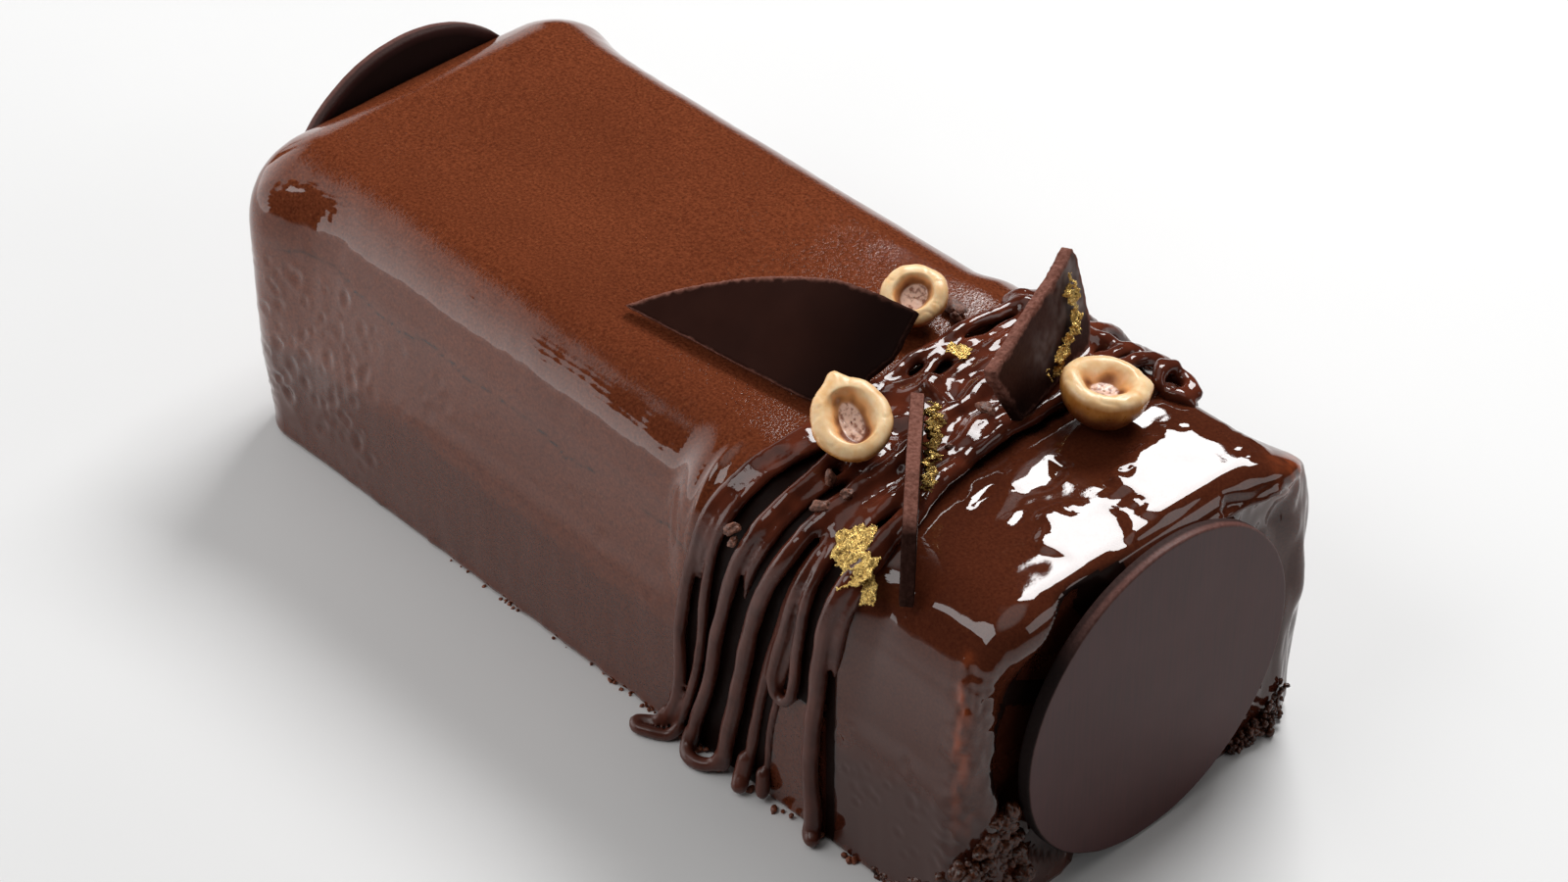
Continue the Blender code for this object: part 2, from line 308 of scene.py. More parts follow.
def lumps(places, sizes, seed, detail, roughness, grain, flatness=0.35):
    """Irregular lumps, one at each place, as one set of points and faces.

    Roughness is the share of its size by which a lump's skin swells and sinks, in grains of the
    given size for a lump of radius 1. Flatness is the share by which it may be longer or shorter one way.
    """
    rng = np.random.default_rng(seed)
    ball, ball_faces = ball_shape(detail)
    points = []
    faces = []
    for index, (place, size) in enumerate(zip(places, sizes)):
        stretch = 1.0 + rng.uniform(-flatness, flatness, 3)
        spin = Matrix.Rotation(rng.uniform(0, 6.28), 3, rng.normal(size=3).tolist())
        shape = ball * (1.0 + roughness * ripples(ball + 3.7 * index, grain, seed, 2))[:, None]
        points.append(place + size * (shape * stretch) @ np.array(spin))
        faces.append(ball_faces + index * len(ball))
    return np.concatenate(points), np.concatenate(faces)


# ---------------------------------------------------------------- the log's outline


def on_outline(runs, lift=0.0):
    """The (y, z) of places on the log's outline, lifted off it by lift, and the outward (y, z)."""
    runs = np.asarray(runs, float)
    back = runs > FULL_RUN / 2
    near_run = np.where(back, FULL_RUN - runs, runs)
    angle = np.clip((near_run - WALL) / SHOULDER, 0.0, math.pi / 2)
    centre_y = -HALF_WIDTH + SHOULDER + np.maximum(near_run - WALL - BEND, 0.0)
    centre_z = np.minimum(near_run, WALL)
    out_y = -np.cos(angle)
    out_z = np.sin(angle)
    y = centre_y + (SHOULDER + lift) * out_y
    z = centre_z + (SHOULDER + lift) * out_z
    mirror = np.where(back, -1.0, 1.0)
    return np.stack([y * mirror, z], -1), np.stack([out_y * mirror, out_z], -1)


# ---------------------------------------------------------------- materials


class Finish:
    """A material being made: short calls add its nodes and wire them."""

    def __init__(self, name):
        self.material = bpy.data.materials.new(name)
        self.material.use_nodes = True
        self.tree = self.material.node_tree
        self.shader = self.tree.nodes["Principled BSDF"]
        self.place = self.add("TexCoord").outputs["Object"]

    def add(self, kind, inputs=None, **settings):
        """A new node of a kind, with its settings, its inputs set or wired."""
        made = self.tree.nodes.new("ShaderNode" + kind)
        for setting, value in settings.items():
            setattr(made, setting, value)
        for socket, value in (inputs or {}).items():
            self.feed(made.inputs[socket], value)
        return made

    def feed(self, socket, value):
        """Wire another node's socket into this one, or set it to a plain value."""
        if isinstance(value, bpy.types.NodeSocket):
            self.tree.links.new(value, socket)
        else:
            socket.default_value = value

    def set(self, **values):
        """Set or wire the main shader's sockets, named with _ for each space."""
        for socket, value in values.items():
            self.feed(self.shader.inputs[socket.replace("_", " ")], value)

    def grain(self, size, detail=2.0, rough=0.5):
        """Noise from 0 to 1 whose size is in mm, the same or one for each axis."""
        sizes = [size] * 3 if np.isscalar(size) else size
        scale = [1.0 / (each * MM) for each in sizes]
        place = self.add("Mapping", {"Vector": self.place, "Scale": scale})
        inputs = {"Vector": place.outputs[0], "Scale": 1.0, "Detail": detail, "Roughness": rough}
        return self.add("TexNoise", inputs).outputs["Fac"]

    def cells(self, size):
        """The distance to the nearest of scattered points a size apart, in sizes."""
        place = self.add("Mapping", {"Vector": self.place, "Scale": [1.0 / (size * MM)] * 3})
        return self.add("TexVoronoi", {"Vector": place.outputs[0], "Scale": 1.0}).outputs["Distance"]

    def mark(self, name):
        """The numbers kept at a piece's points under a name."""
        return self.add("Attribute", attribute_name=name).outputs["Fac"]

    def span(self, value, low, high, to_low=0.0, to_high=1.0):
        """Turn the span low to high of a value into another span."""
        inputs = {"Value": value, "From Min": low, "From Max": high,
                  "To Min": to_low, "To Max": to_high}
        return self.add("MapRange", inputs).outputs["Result"]

    def vary(self, noise, low=0.0, high=1.0):
        """Turn noise, which mostly lies between 0.3 and 0.7, into the span low to high."""
        return self.span(noise, 0.3, 0.7, low, high)

    def times(self, first, second):
        """The product of two values."""
        return self.add("Math", {0: first, 1: second}, operation="MULTIPLY").outputs[0]

    def plus(self, first, second):
        """The sum of two values."""
        return self.add("Math", {0: first, 1: second}, operation="ADD").outputs[0]

    def mix(self, first, second, share):
        """Between two colours, each linear (r, g, b) or a socket."""
        made = self.add("Mix", data_type="RGBA")
        for socket, value in ((made.inputs[6], first), (made.inputs[7], second)):
            self.feed(socket, value if isinstance(value, bpy.types.NodeSocket) else (*value, 1.0))
        self.feed(made.inputs[0], share)
        return made.outputs[2]

    def where(self, colour, **others):
        """A colour that gives way, mark by mark, to another one wherever that mark is strong."""
        for name, other in others.items():
            colour = self.mix(colour, other, self.mark(name))
        return colour

    def relief(self, height, depth, under=None):
        """A bump of a height from 0 to 1, of a depth in mm, on top of another bump."""
        inputs = {"Height": height, "Distance": depth * MM, "Strength": 1.0}
        if under is not None:
            inputs["Normal"] = under
        return self.add("Bump", inputs).outputs["Normal"]


# The glaze's dark and pale grains and the flecks among them; where it has run thin; broad painted shade
# over parts of it, and near-black painted shade between the strands; and down a hairline crack.
GLAZE_DARK = (0.082, 0.0172, 0.0064)
GLAZE_LIGHT = (0.222, 0.0565, 0.0218)
GLAZE_FLECK = (0.36, 0.13, 0.050)
GLAZE_THIN = (0.300, 0.0620, 0.0190)
GLAZE_PAINTED_SHADE = (0.050, 0.0115, 0.0060)
GLAZE_SHADE = (0.0100, 0.0036, 0.0026)
GLAZE_CRACK = (0.012, 0.006, 0.004)


def glaze_finish():
    """Shiny chocolate glaze over a fine-grained log: reddish brown, redder where it has run thin, darkened in
    places by painted shade.
    """
    finish = Finish("glaze")
    speckle = finish.grain(0.60, 3.0, 0.65)
    clouds = finish.grain((26.0, 20.0, 20.0), 2.0)
    flecks = finish.span(finish.cells(1.5), 0.08, 0.20, 1.0, 0.0)
    lightness = finish.span(speckle, 0.28, 0.72)
    lightness = finish.times(lightness, finish.span(clouds, 0.25, 0.75, 0.75, 1.15))
    colour = finish.mix(GLAZE_DARK, GLAZE_LIGHT, lightness)
    colour = finish.mix(colour, GLAZE_FLECK, finish.times(flecks, 0.22))
    # The broad darkening and the near-black mark between the strands are painted shade.
    colour = finish.where(colour, deep=GLAZE_PAINTED_SHADE, thin=GLAZE_THIN, shade=GLAZE_SHADE, crack=GLAZE_CRACK)
    soft = finish.vary(finish.grain((7.0, 7.0, 26.0), 3.0), 0.01, 0.09)
    rough = finish.plus(finish.times(soft, finish.mark("satin")), 0.025)
    finish.set(Base_Color=colour, Roughness=rough, IOR=1.53)
    grit = finish.relief(finish.times(speckle, finish.mark("grit")), 0.050)
    swell = finish.times(finish.grain((2.6, 2.6, 5.0), 2.0), finish.mark("satin"))
    finish.set(Normal=finish.relief(swell, 0.045, grit))
    return finish.material


def shade_film_finish():
    """A near-black film with hardly any shine: painted shade on the glaze between the strands."""
    finish = Finish("painted_shade_film")
    spots = finish.grain(2.4, 3.0)
    finish.set(Base_Color=finish.mix((0.0050, 0.0016, 0.0010), (0.0120, 0.0040, 0.0026), spots))
    finish.set(Roughness=finish.vary(spots, 0.35, 0.55), IOR=1.5, Specular_IOR_Level=0.06)
    finish.set(Normal=finish.relief(spots, 0.10))
    return finish.material


def ganache_finish():
    """Dark ganache, satin on the side and wet on top, with fine ridges along each strand."""
    finish = Finish("ganache")
    clouds = finish.grain(5.0, 3.0)
    dry = finish.mix((0.064, 0.0160, 0.0090), (0.108, 0.0300, 0.0180), finish.vary(clouds))
    wet = finish.mix((0.050, 0.0110, 0.0060), (0.105, 0.0250, 0.0130), finish.vary(clouds))
    colour = finish.where(dry, wet=wet, thin=(0.160, 0.034, 0.015))
    rough = finish.span(finish.mark("wet"), 0.0, 1.0, 0.30, 0.04)
    rough = finish.plus(rough, finish.vary(finish.grain(1.4, 2.0), -0.02, 0.05))
    finish.set(Base_Color=colour, Roughness=rough, IOR=1.46)
    finish.set(Normal=finish.relief(finish.grain(0.8, 3.0), 0.022))
    return finish.material


def chocolate_finish(name, streaks, face_low, face_high, gloss):
    """Tempered chocolate: a satin face with faint streaks, a paler rough edge, a painted grey sheen and
    near-black painted shade.

    Streaks is their size in mm along each axis. The face varies from its low to its high colour.
    """
    finish = Finish(name)
    lines = finish.grain(streaks, 3.0, 0.6)
    clouds = finish.grain(14.0, 2.0)
    colour = finish.mix(face_low, face_high, finish.vary(lines))
    dusty = [1.25 * part + 0.004 for part in face_high]
    colour = finish.mix(colour, dusty, finish.span(clouds, 0.4, 0.8, 0.0, 0.5))
    edge_grain = finish.vary(finish.grain(0.7, 3.0))
    edge = finish.mix((0.130, 0.048, 0.034), (0.250, 0.110, 0.084), edge_grain)
    bloom = finish.mix((0.12, 0.085, 0.075), (0.29, 0.25, 0.245), finish.span(clouds, 0.3, 0.6))
    colour = finish.where(colour, bloom=bloom, edge=edge, dark=(0.0035, 0.0012, 0.0010))
    rough = finish.vary(lines, 0.32, 0.42)
    for mark in ("edge", "dark"):
        rough = finish.plus(rough, finish.times(finish.mark(mark), 0.30))
    finish.set(Base_Color=colour, Roughness=rough, IOR=1.5, Specular_IOR_Level=gloss)
    under = finish.relief(lines, 0.012)
    finish.set(Normal=finish.relief(finish.times(edge_grain, finish.mark("edge")), 0.10, under))
    return finish.material


def hazelnut_finish():
    """A blanched, roasted hazelnut: cream lip, browned funnel darkening to painted shade by the hollow,
    golden outside with painted shade under it, pinkish hollow.
    """
    finish = Finish("hazelnut")
    veins = finish.grain((2.2, 2.2, 4.5), 3.0, 0.5)
    fine = finish.grain(0.9, 3.0)
    streaks = finish.grain((0.9, 0.9, 4.0), 2.0, 0.5)
    colour = finish.mix((0.87, 0.500, 0.210), (0.98, 0.73, 0.43), finish.span(veins, 0.25, 0.70))
    golden = finish.mix((0.48, 0.155, 0.025), (0.78, 0.34, 0.08), finish.vary(veins))
    # The under mark is painted shade on the lowest part of the outside.
    colour = finish.where(colour, low=golden, under=(0.20, 0.048, 0.007))
    # The funnel browns from roasting, then darkens to painted shade next to the hollow.
    toast_and_shade = finish.mix((0.82, 0.400, 0.150), (0.17, 0.042, 0.012),
                       finish.span(finish.mark("toast_and_shade"), 0.55, 1.0))
    colour = finish.mix(colour, toast_and_shade, finish.span(finish.mark("toast_and_shade"), 0.0, 0.60))
    skin = finish.mix((0.30, 0.120, 0.070), (0.80, 0.53, 0.41), finish.span(streaks, 0.36, 0.52))
    colour = finish.where(colour, hollow=skin)
    finish.set(Base_Color=colour, Roughness=finish.vary(fine, 0.26, 0.42), IOR=1.46)
    finish.set(Subsurface_Weight=0.12, Subsurface_Scale=0.9 * MM, Subsurface_Radius=(1.0, 0.6, 0.3))
    finish.set(Normal=finish.relief(veins, 0.04, finish.relief(fine, 0.025)))
    return finish.material


def gold_finish():
    """Crumpled gold leaf, with dark specks where what lies under it shows through."""
    finish = Finish("gold_leaf")
    folds = finish.grain(0.42, 4.0, 0.7)
    colour = finish.mix((0.40, 0.19, 0.018), (1.0, 0.74, 0.27), finish.span(folds, 0.38, 0.62))
    colour = finish.mix((0.022, 0.009, 0.004), colour, finish.span(folds, 0.38, 0.44))
    finish.set(Base_Color=colour, Metallic=finish.span(folds, 0.38, 0.44, 0.2, 1.0))
    finish.set(Roughness=finish.vary(folds, 0.36, 0.20))
    finish.set(Normal=finish.relief(folds, 0.30))
    return finish.material


def crumb_finish(name, dark, light, rough):
    """Crumbs and chips of chocolate, mottled."""
    finish = Finish(name)
    spots = finish.grain(0.6, 3.0, 0.6)
    finish.set(Base_Color=finish.mix(dark, light, finish.span(spots, 0.35, 0.65)))
    finish.set(Roughness=finish.vary(spots, rough, rough + 0.15), IOR=1.45)
    finish.set(Normal=finish.relief(spots, 0.15))
    return finish.material


def floor_finish():
    """A plain pale tabletop, hardly mottled."""
    finish = Finish("tabletop")
    clouds = finish.grain(180.0, 3.0)
    finish.set(Base_Color=finish.mix((0.72, 0.72, 0.72), (0.76, 0.76, 0.76), clouds))
    finish.set(Roughness=finish.vary(clouds, 0.45, 0.55))
    return finish.material


# ---------------------------------------------------------------- the glazed log

# How far apart the skin's points stand: up the near side and its shoulder, over the crown, down the far
# shoulder, down the far side, and along the log. Then the number of rings in each end face.
NEAR_STEP = 0.66
TOP_STEP = 0.74
FAR_SHOULDER_STEP = 0.95
FAR_STEP = 1.15
SECTION_STEP = 0.70
END_RINGS = 26


def outline_runs():
    """Runs round the log's outline, closer together on the near side and the top."""
    parts = [
        np.arange(FOOT_ROUNDING, WALL, NEAR_STEP),
        WALL + np.arange(0, BEND, NEAR_STEP),
        WALL + BEND + np.arange(0, CROWN, TOP_STEP),
        WALL + BEND + CROWN + np.arange(0, BEND, FAR_SHOULDER_STEP),
        WALL + 2 * BEND + CROWN + np.arange(0, WALL - FOOT_ROUNDING, FAR_STEP),
    ]
    return np.concatenate(parts)


def log_sections():
    """Where sections stand along the log, and how far each lies inside the full outline."""
    back = -HALF_LENGTH + BACK_ROUNDING * (1 - np.cos(np.radians(np.linspace(2, 88, 14))))
    front = HALF_LENGTH - FRONT_ROUNDING * (1 - np.cos(np.radians(np.linspace(88, 2, 16))))
    middle_low, middle_high = -HALF_LENGTH + BACK_ROUNDING, HALF_LENGTH - FRONT_ROUNDING
    middle = np.linspace(middle_low, middle_high, int((middle_high - middle_low) / SECTION_STEP))
    x = np.concatenate([back, middle, front])
    past_back = np.maximum(middle_low - x, 0.0)
    past_front = np.maximum(x - middle_high, 0.0)
    inset = BACK_ROUNDING - np.sqrt(BACK_ROUNDING**2 - past_back**2)
    inset += FRONT_ROUNDING - np.sqrt(FRONT_ROUNDING**2 - past_front**2)
    return x, inset


def shrunk(ring, shares):
    """Copies of a ring of the log, each drawn in to a share of its size round the log's middle."""
    middle = np.array([0.0, HEIGHT / 2])
    return [np.column_stack([ring[:, :1], middle + (ring[:, 1:] - middle) * share]) for share in shares]


def log_grid():
    """The log's skin before it is uneven: points (ring, side, xyz), and the run of each side.

    Points under the log have the run -1.
    """
    runs = outline_runs()
    section, out = on_outline(runs)
    corner = FOOT_ROUNDING * (1 - math.cos(math.radians(45)))
    flat = np.linspace(HALF_WIDTH - FOOT_ROUNDING, -HALF_WIDTH + FOOT_ROUNDING, 22)
    under_y = np.concatenate([[HALF_WIDTH - corner], flat, [-HALF_WIDTH + corner]])
    under_z = np.zeros_like(under_y)
    under_z[[0, -1]] = corner
    rings = []
    for place, inset in zip(*log_sections()):
        skin = section - inset * out
        under = np.stack([under_y * (1 - inset / HALF_WIDTH), under_z], -1)
        ring = np.concatenate([skin, under])
        rings.append(np.column_stack([np.full(len(ring), place), ring]))
    # The end faces: rings that close in on the middle.
    shares = np.concatenate([np.linspace(0.975, 0.60, END_RINGS - 8), np.linspace(0.5, 0.06, 8)])
    rings = shrunk(rings[0], shares[::-1]) + rings + shrunk(rings[-1], shares)
    all_runs = np.concatenate([runs, np.full(len(under_y), -1.0)])
    return np.array(rings), all_runs


# Pits left by bubbles: how many, spans of their places along X and Z, their half widths, their
# depths, and the side they are in, -1 for the near one. They crowd at the back of the near side.
PITS = (
    (90, (-99, -62), (8, 46), (0.6, 1.4), (0.10, 0.30), -1),
    (46, (-62, 24), (28, 44), (0.6, 1.5), (0.04, 0.13), -1),
    (26, (68, 92), (8, 33), (0.6, 1.1), (0.06, 0.20), -1),
    (70, (-96, 96), (6, 46), (0.7, 1.6), (0.05, 0.22), 1),
)


def dents(points, normals, rng, count, x_span, z_span, size, depth, side):
    """Small round dents with a raised rim in one long side of the log, as a lift of each point."""
    lift = np.zeros(len(points))
    facing = normals[:, 1] * side > 0.5
    for _ in range(count):
        x = rng.uniform(*x_span)
        z = rng.uniform(*z_span)
        width = rng.uniform(*size)
        near = facing & (np.abs(points[:, 0] - x) < 4 * width) & (np.abs(points[:, 2] - z) < 5 * width)
        spread = np.hypot(points[near, 0] - x, (points[near, 2] - z) / rng.uniform(1.0, 1.6)) / width
        shape = -np.exp(-spread**2) + 0.45 * np.exp(-((spread - 1.5) ** 2) * 4)
        lift[near] += shape * rng.uniform(*depth)
    return lift


def disc_angle(points):
    """For points on the front end: distance from the disc's axis, and angle round it from +Y."""
    low, high = box_mm("disc_front")
    centre = (low + high) / 2
    y = points[:, 1] - centre[1]
    z = points[:, 2] - centre[2]
    return np.hypot(y, z), np.degrees(np.arctan2(z, y))


# Where the front of the top tips towards the softbox: centre (x, y), half lengths.
TIPPED = ((91.0, 18.5, 8.5, 13.5), (91.5, -7.6, 6.8, 7.2), (73.6, -1.7, 3.6, 5.5),
          (71.8, -12.8, 1.8, 3.4), (71.0, 26.0, 3.0, 4.5), (80.0, -13.2, 1.0, 1.6))


def tipped_top(points):
    """The lift of the patches of the top that tip towards the softbox."""
    x, y, _ = points.T
    ragged = 0.30 * ripples(points, 5.0, 14, 2) + 0.16 * ripples(points, 1.9, 15)
    lift = np.zeros(len(points))
    for centre_x, centre_y, half_x, half_y in TIPPED:
        reach = np.hypot((x - centre_x) / half_x, (y - centre_y) / half_y) + ragged
        inside = smooth(reach, 1.30, 0.92)
        lift = np.where(inside > 0, -inside * (0.100 * (x - centre_x) + 0.060 * (y - centre_y)), lift)
    return lift


def lift_side(lift, points, normals, foot):
    """Roughen the long sides and the shoulders, and lean the sides in."""
    x = points[:, 0]
    side = smooth(np.abs(normals[:, 1]), 0.25, 0.8)
    lift += side * 0.06 * ripples(points, (5.0, 5.0, 24.0), 4, 2)
    lift += side * 0.10 * ripples(points, (2.6, 2.6, 4.0), 5) * smooth(x, -55, -85)
    # The shoulder's uneven skin frays the edge of what it mirrors.
    shoulder = smooth(foot, 58, 63) * smooth(foot, 80, 74)
    lift += shoulder * (0.045 * ripples(points, 8.0, 16) + 0.022 * ripples(points, 3.0, 17))
    # The sides lean in a little below the shoulders, but not under the strands or at the back.
    clear = smooth(x, 29, 22) * smooth(x, -96, -72) + smooth(x, 68, 76)
    lean = LEAN * np.maximum(foot - LEAN_START, 0.0) * smooth(foot, LEAN_START, LEAN_START + 8)
    lean = np.minimum(lean, LEAN * (WALL + 3 - LEAN_START))
    lift -= clear * lean * smooth(foot, WALL + BEND + 2, WALL + 3)


def lift_top(lift, points, normals):
    """Tip and ripple the top's front third, which is wet and smooth."""
    x, y, _ = points.T
    wet = smooth(normals[:, 2], 0.86, 0.98) * smooth(x, 64, 74)
    lift += wet * (0.012 * (x - 66) + 0.015 * (y + 12))
    lift += wet * (0.055 * ripples(points, 9.0, 6) + 0.035 * ripples(points, 3.2, 7))
    lift += wet * tipped_top(points)


def lift_ends(lift, points, normals, foot):
    """Swell the corners of the log's two ends."""
    x, y, z = points.T
    # Lumpy runs of glaze down the near front corner; folds and a swelling down the far one.
    near_corner = smooth(x, 91, 97) * smooth(y, -30, -37) * smooth(z, 64, 56)
    lift += near_corner * (0.75 * ripples(points, (4.0, 4.0, 6.5), 8) + 0.45 * ripples(points, 2.0, 9))
    far_corner = smooth(x, 93, 98) * smooth(y, 14, 24) * smooth(z, 62, 56)
    lift += far_corner * 0.75 * ripples(points, (3.0, 2.6, 15.0), 10, 2)
    reach, _ = disc_angle(points)
    swollen = smooth(x, 82, 98) * smooth(y, 24, 38) * smooth(z, 14, 48) * smooth(reach, 37, 41)
    lift += 3.0 * swollen * smooth(normals[:, 2], 0.95, 0.45)
    # The back end bulges, and its glaze is torn high up.
    lift += 1.3 * smooth(x, -78, -97) * smooth(foot, 2, 22) * smooth(normals[:, 2], 0.9, 0.4)
    torn = smooth(x, -91, -97) * smooth(z, 46, 54) * smooth(z, 66, 60)
    lift += torn * 0.06 * ripples(points, (3.0, 3.0, 4.0), 18, 2)


def log_lift(points, normals, runs, rng):
    """How far the glaze stands off the plain log at each point."""
    foot = np.minimum(runs, FULL_RUN - runs)
    lift = 0.30 * ripples(points, 42.0, 1) + 0.11 * ripples(points, 15.0, 2) + 0.030 * ripples(points, 5.5, 3)
    lift_side(lift, points, normals, foot)
    lift_top(lift, points, normals)
    for pits in PITS:
        lift += dents(points, normals, rng, *pits)
    lift_ends(lift, points, normals, foot)
    # A soft ridge of glaze beside the first strand.
    course = through((46, 52, 60, 67), (30.6, 31.6, 31.8, 31.4), np.clip(runs, 46, 67))
    lift += 0.75 * bump(points[:, 0], course, 0.9) * smooth(runs, 43, 50) * smooth(runs, 72, 63)
    # A pooled, ragged foot.
    rag = 0.40 + 0.55 * ripples(points, 3.0, 11) + 0.30 * ripples(points, 1.2, 12)
    lift += np.exp(-np.maximum(foot, 0.0) / 1.3) * rag * (runs >= 0)
    return np.where(runs >= 0, lift, 0.0)


def front_shift(points):
    """How far the front face moves along X: sunk behind the disc's rim, with a lip along its top."""
    x, y, z = points.T
    reach, angle = disc_angle(points)
    on_face = smooth(x, HALF_LENGTH - 3.0, HALF_LENGTH - 0.3)
    round_near = np.where(angle < -90, angle + 360, angle)
    gap = smooth(round_near, 112, 128) * smooth(round_near, 275, 262)
    sunk = 3.4 * smooth(reach, 19, 27) * smooth(reach, 38.0, 35.2) * (0.30 + 0.70 * gap)
    sunk *= np.where((round_near > 58) & (round_near < 112), 0.15, 1.0)
    wave = 0.8 * np.sin(y / 5.0) + 0.5 * np.sin(y / 2.3)
    lip = 1.3 * bump(z, 60.3 + wave * 0.5, 0.9) * smooth(y, 2, 7) * smooth(y, 33, 29)
    below_lip = 0.8 * smooth(z, 60.5, 58.5) * smooth(y, 12, 18)
    return on_face * (lip - below_lip - sunk)


def crack_marks(points):
    """Hairline cracks that wander along the near side, about 50 mm up."""
    x, y, z = points.T
    along = np.column_stack([x, np.zeros_like(x), np.zeros_like(x)])
    course = 50.0 - 0.035 * (x + 95) + 3.2 * ripples(along, 17.0, 21) + 1.1 * ripples(along, 3.2, 22)
    open_here = smooth(ripples(along, 21.0, 23), -0.28, -0.12)
    stretch = smooth(x, -99, -95) * smooth(x, 34, 28) * smooth(y, -20, -38)
    return 0.75 * bump(z, course, 0.22) * open_here * stretch


def strand_shade(points, runs):
    """Painted shade: near black in the valleys between the strands, beside the last strand and in the gap
    behind the disc's rim.
    """
    x, y, _ = points.T
    near_runs = np.clip(runs, 0.0, FULL_RUN)
    start = through(*np.array(STRANDS["first"][0], float).T, near_runs)
    end = np.where(near_runs < 29, 50.5 + 0.12 * near_runs, 66.0)
    end += 1.5 * ripples(points, 3.0, 32)
    shade = smooth(x, start - 0.5, start + 1.0) * smooth(x, end + 1.0, end - 1.0)
    right_of_last = smooth(x, 65.0, 66.5) * smooth(x, 69.0, 68.0) * smooth(near_runs, 50, 42)
    shade = np.maximum(shade * smooth(near_runs, 142, 130), right_of_last * (y < 0))
    reach, _ = disc_angle(points)
    behind_rim = smooth(x, 97, 99) * smooth(reach, 39.5, 37.5) * smooth(y, 0, -12)
    return np.clip(np.maximum(shade, 0.92 * behind_rim), 0, 1)


def log_marks(points, runs, on_top):
    """What sets the glaze's finish apart from place to place, each from 0 to 1."""
    x, y, z = points.T
    mottle = ripples(points, (2.0, 2.0, 4.0), 31, 2)
    near_edge = bump(x, 98.0 - 0.12 * (z - 30), 1.4) * smooth(y, -36, -41)
    near_edge *= smooth(z, 20, 34) * smooth(z, 66, 56)
    far_edge = bump(z, 60.5, 3.2) * smooth(y, 29, 33) * smooth(x, 94, 98)
    foot = np.exp(-np.abs(z) / 0.9) * smooth(x, -60, -30) * 0.8
    thin = (near_edge * 0.75 + far_edge * 0.8) * (0.45 + 1.3 * mottle) + foot * (0.4 + mottle)
    # Painted shade: darker over the front third and low on the sides, and a little on top beside the fan.
    deep = 0.70 * smooth(x, 34, 66) * smooth(z, 30, 60)
    deep += 0.20 * smooth(x, -40, 10) * smooth(x, 66, 34) * smooth(y, 25, -22) * smooth(z, 56, 64)
    # Below a ragged line low on the sides the glaze gets more painted shade.
    low = smooth(z - 3.5 * ripples(points, (16.0, 16.0, 8.0), 33, 2), 27, 23)
    on_side = 0.14 + 0.12 * smooth(z, 48, 30) + 0.34 * low + 0.60 * smooth(x, 60, 76)
    deep = np.maximum(deep, on_side * smooth(z, 64, 54))
    shade = strand_shade(points, runs)
    return {
        "thin": np.clip(thin, 0, 1),
        "deep": np.clip(deep, 0, 1),
        "shade": shade * (runs >= 0),
        "satin": 0.35 * (1.0 - smooth(x, 55, 75) * smooth(z, 50, 62)) * (1 - shade),
        "grit": (0.04 + 0.96 * on_top) * (1.0 - 0.95 * smooth(x, 50, 72) * smooth(z, 50, 62)),
        "crack": crack_marks(points),
    }


def make_log(glaze, shade_film):
    """The whole glazed log; its faces in the strands' shade get the near-black film of painted shade."""
    rng = np.random.default_rng(20)
    grid, runs = log_grid()
    rings, sides = grid.shape[:2]
    points = grid.reshape(-1, 3)
    all_runs = np.tile(runs, rings)
    faces = np.array(ring_faces(rings, sides))
    normals = face_normals(points, faces)
    points = points + normals * log_lift(points, normals, all_runs, rng)[:, None]
    points[:, 0] += front_shift(points)
    points[:, 2] = np.maximum(points[:, 2], 0.0)
    marks = log_marks(points, all_runs, smooth(normals[:, 2], 0.80, 0.97))
    marks = {name: np.append(values, [0.0, 0.0]) for name, values in marks.items()}
    closed = close_ends(points, faces.tolist(), sides)
    piece = add_piece("glazed_log", *closed, glaze, "glaze", ("cake",), marks)
    piece.data.materials.append(shade_film)
    shaded = (marks["shade"][faces] > 0.5).all(1)
    for face in np.flatnonzero(shaded).tolist():
        piece.data.polygons[face].material_index = 1


# ---------------------------------------------------------------- the ganache strands

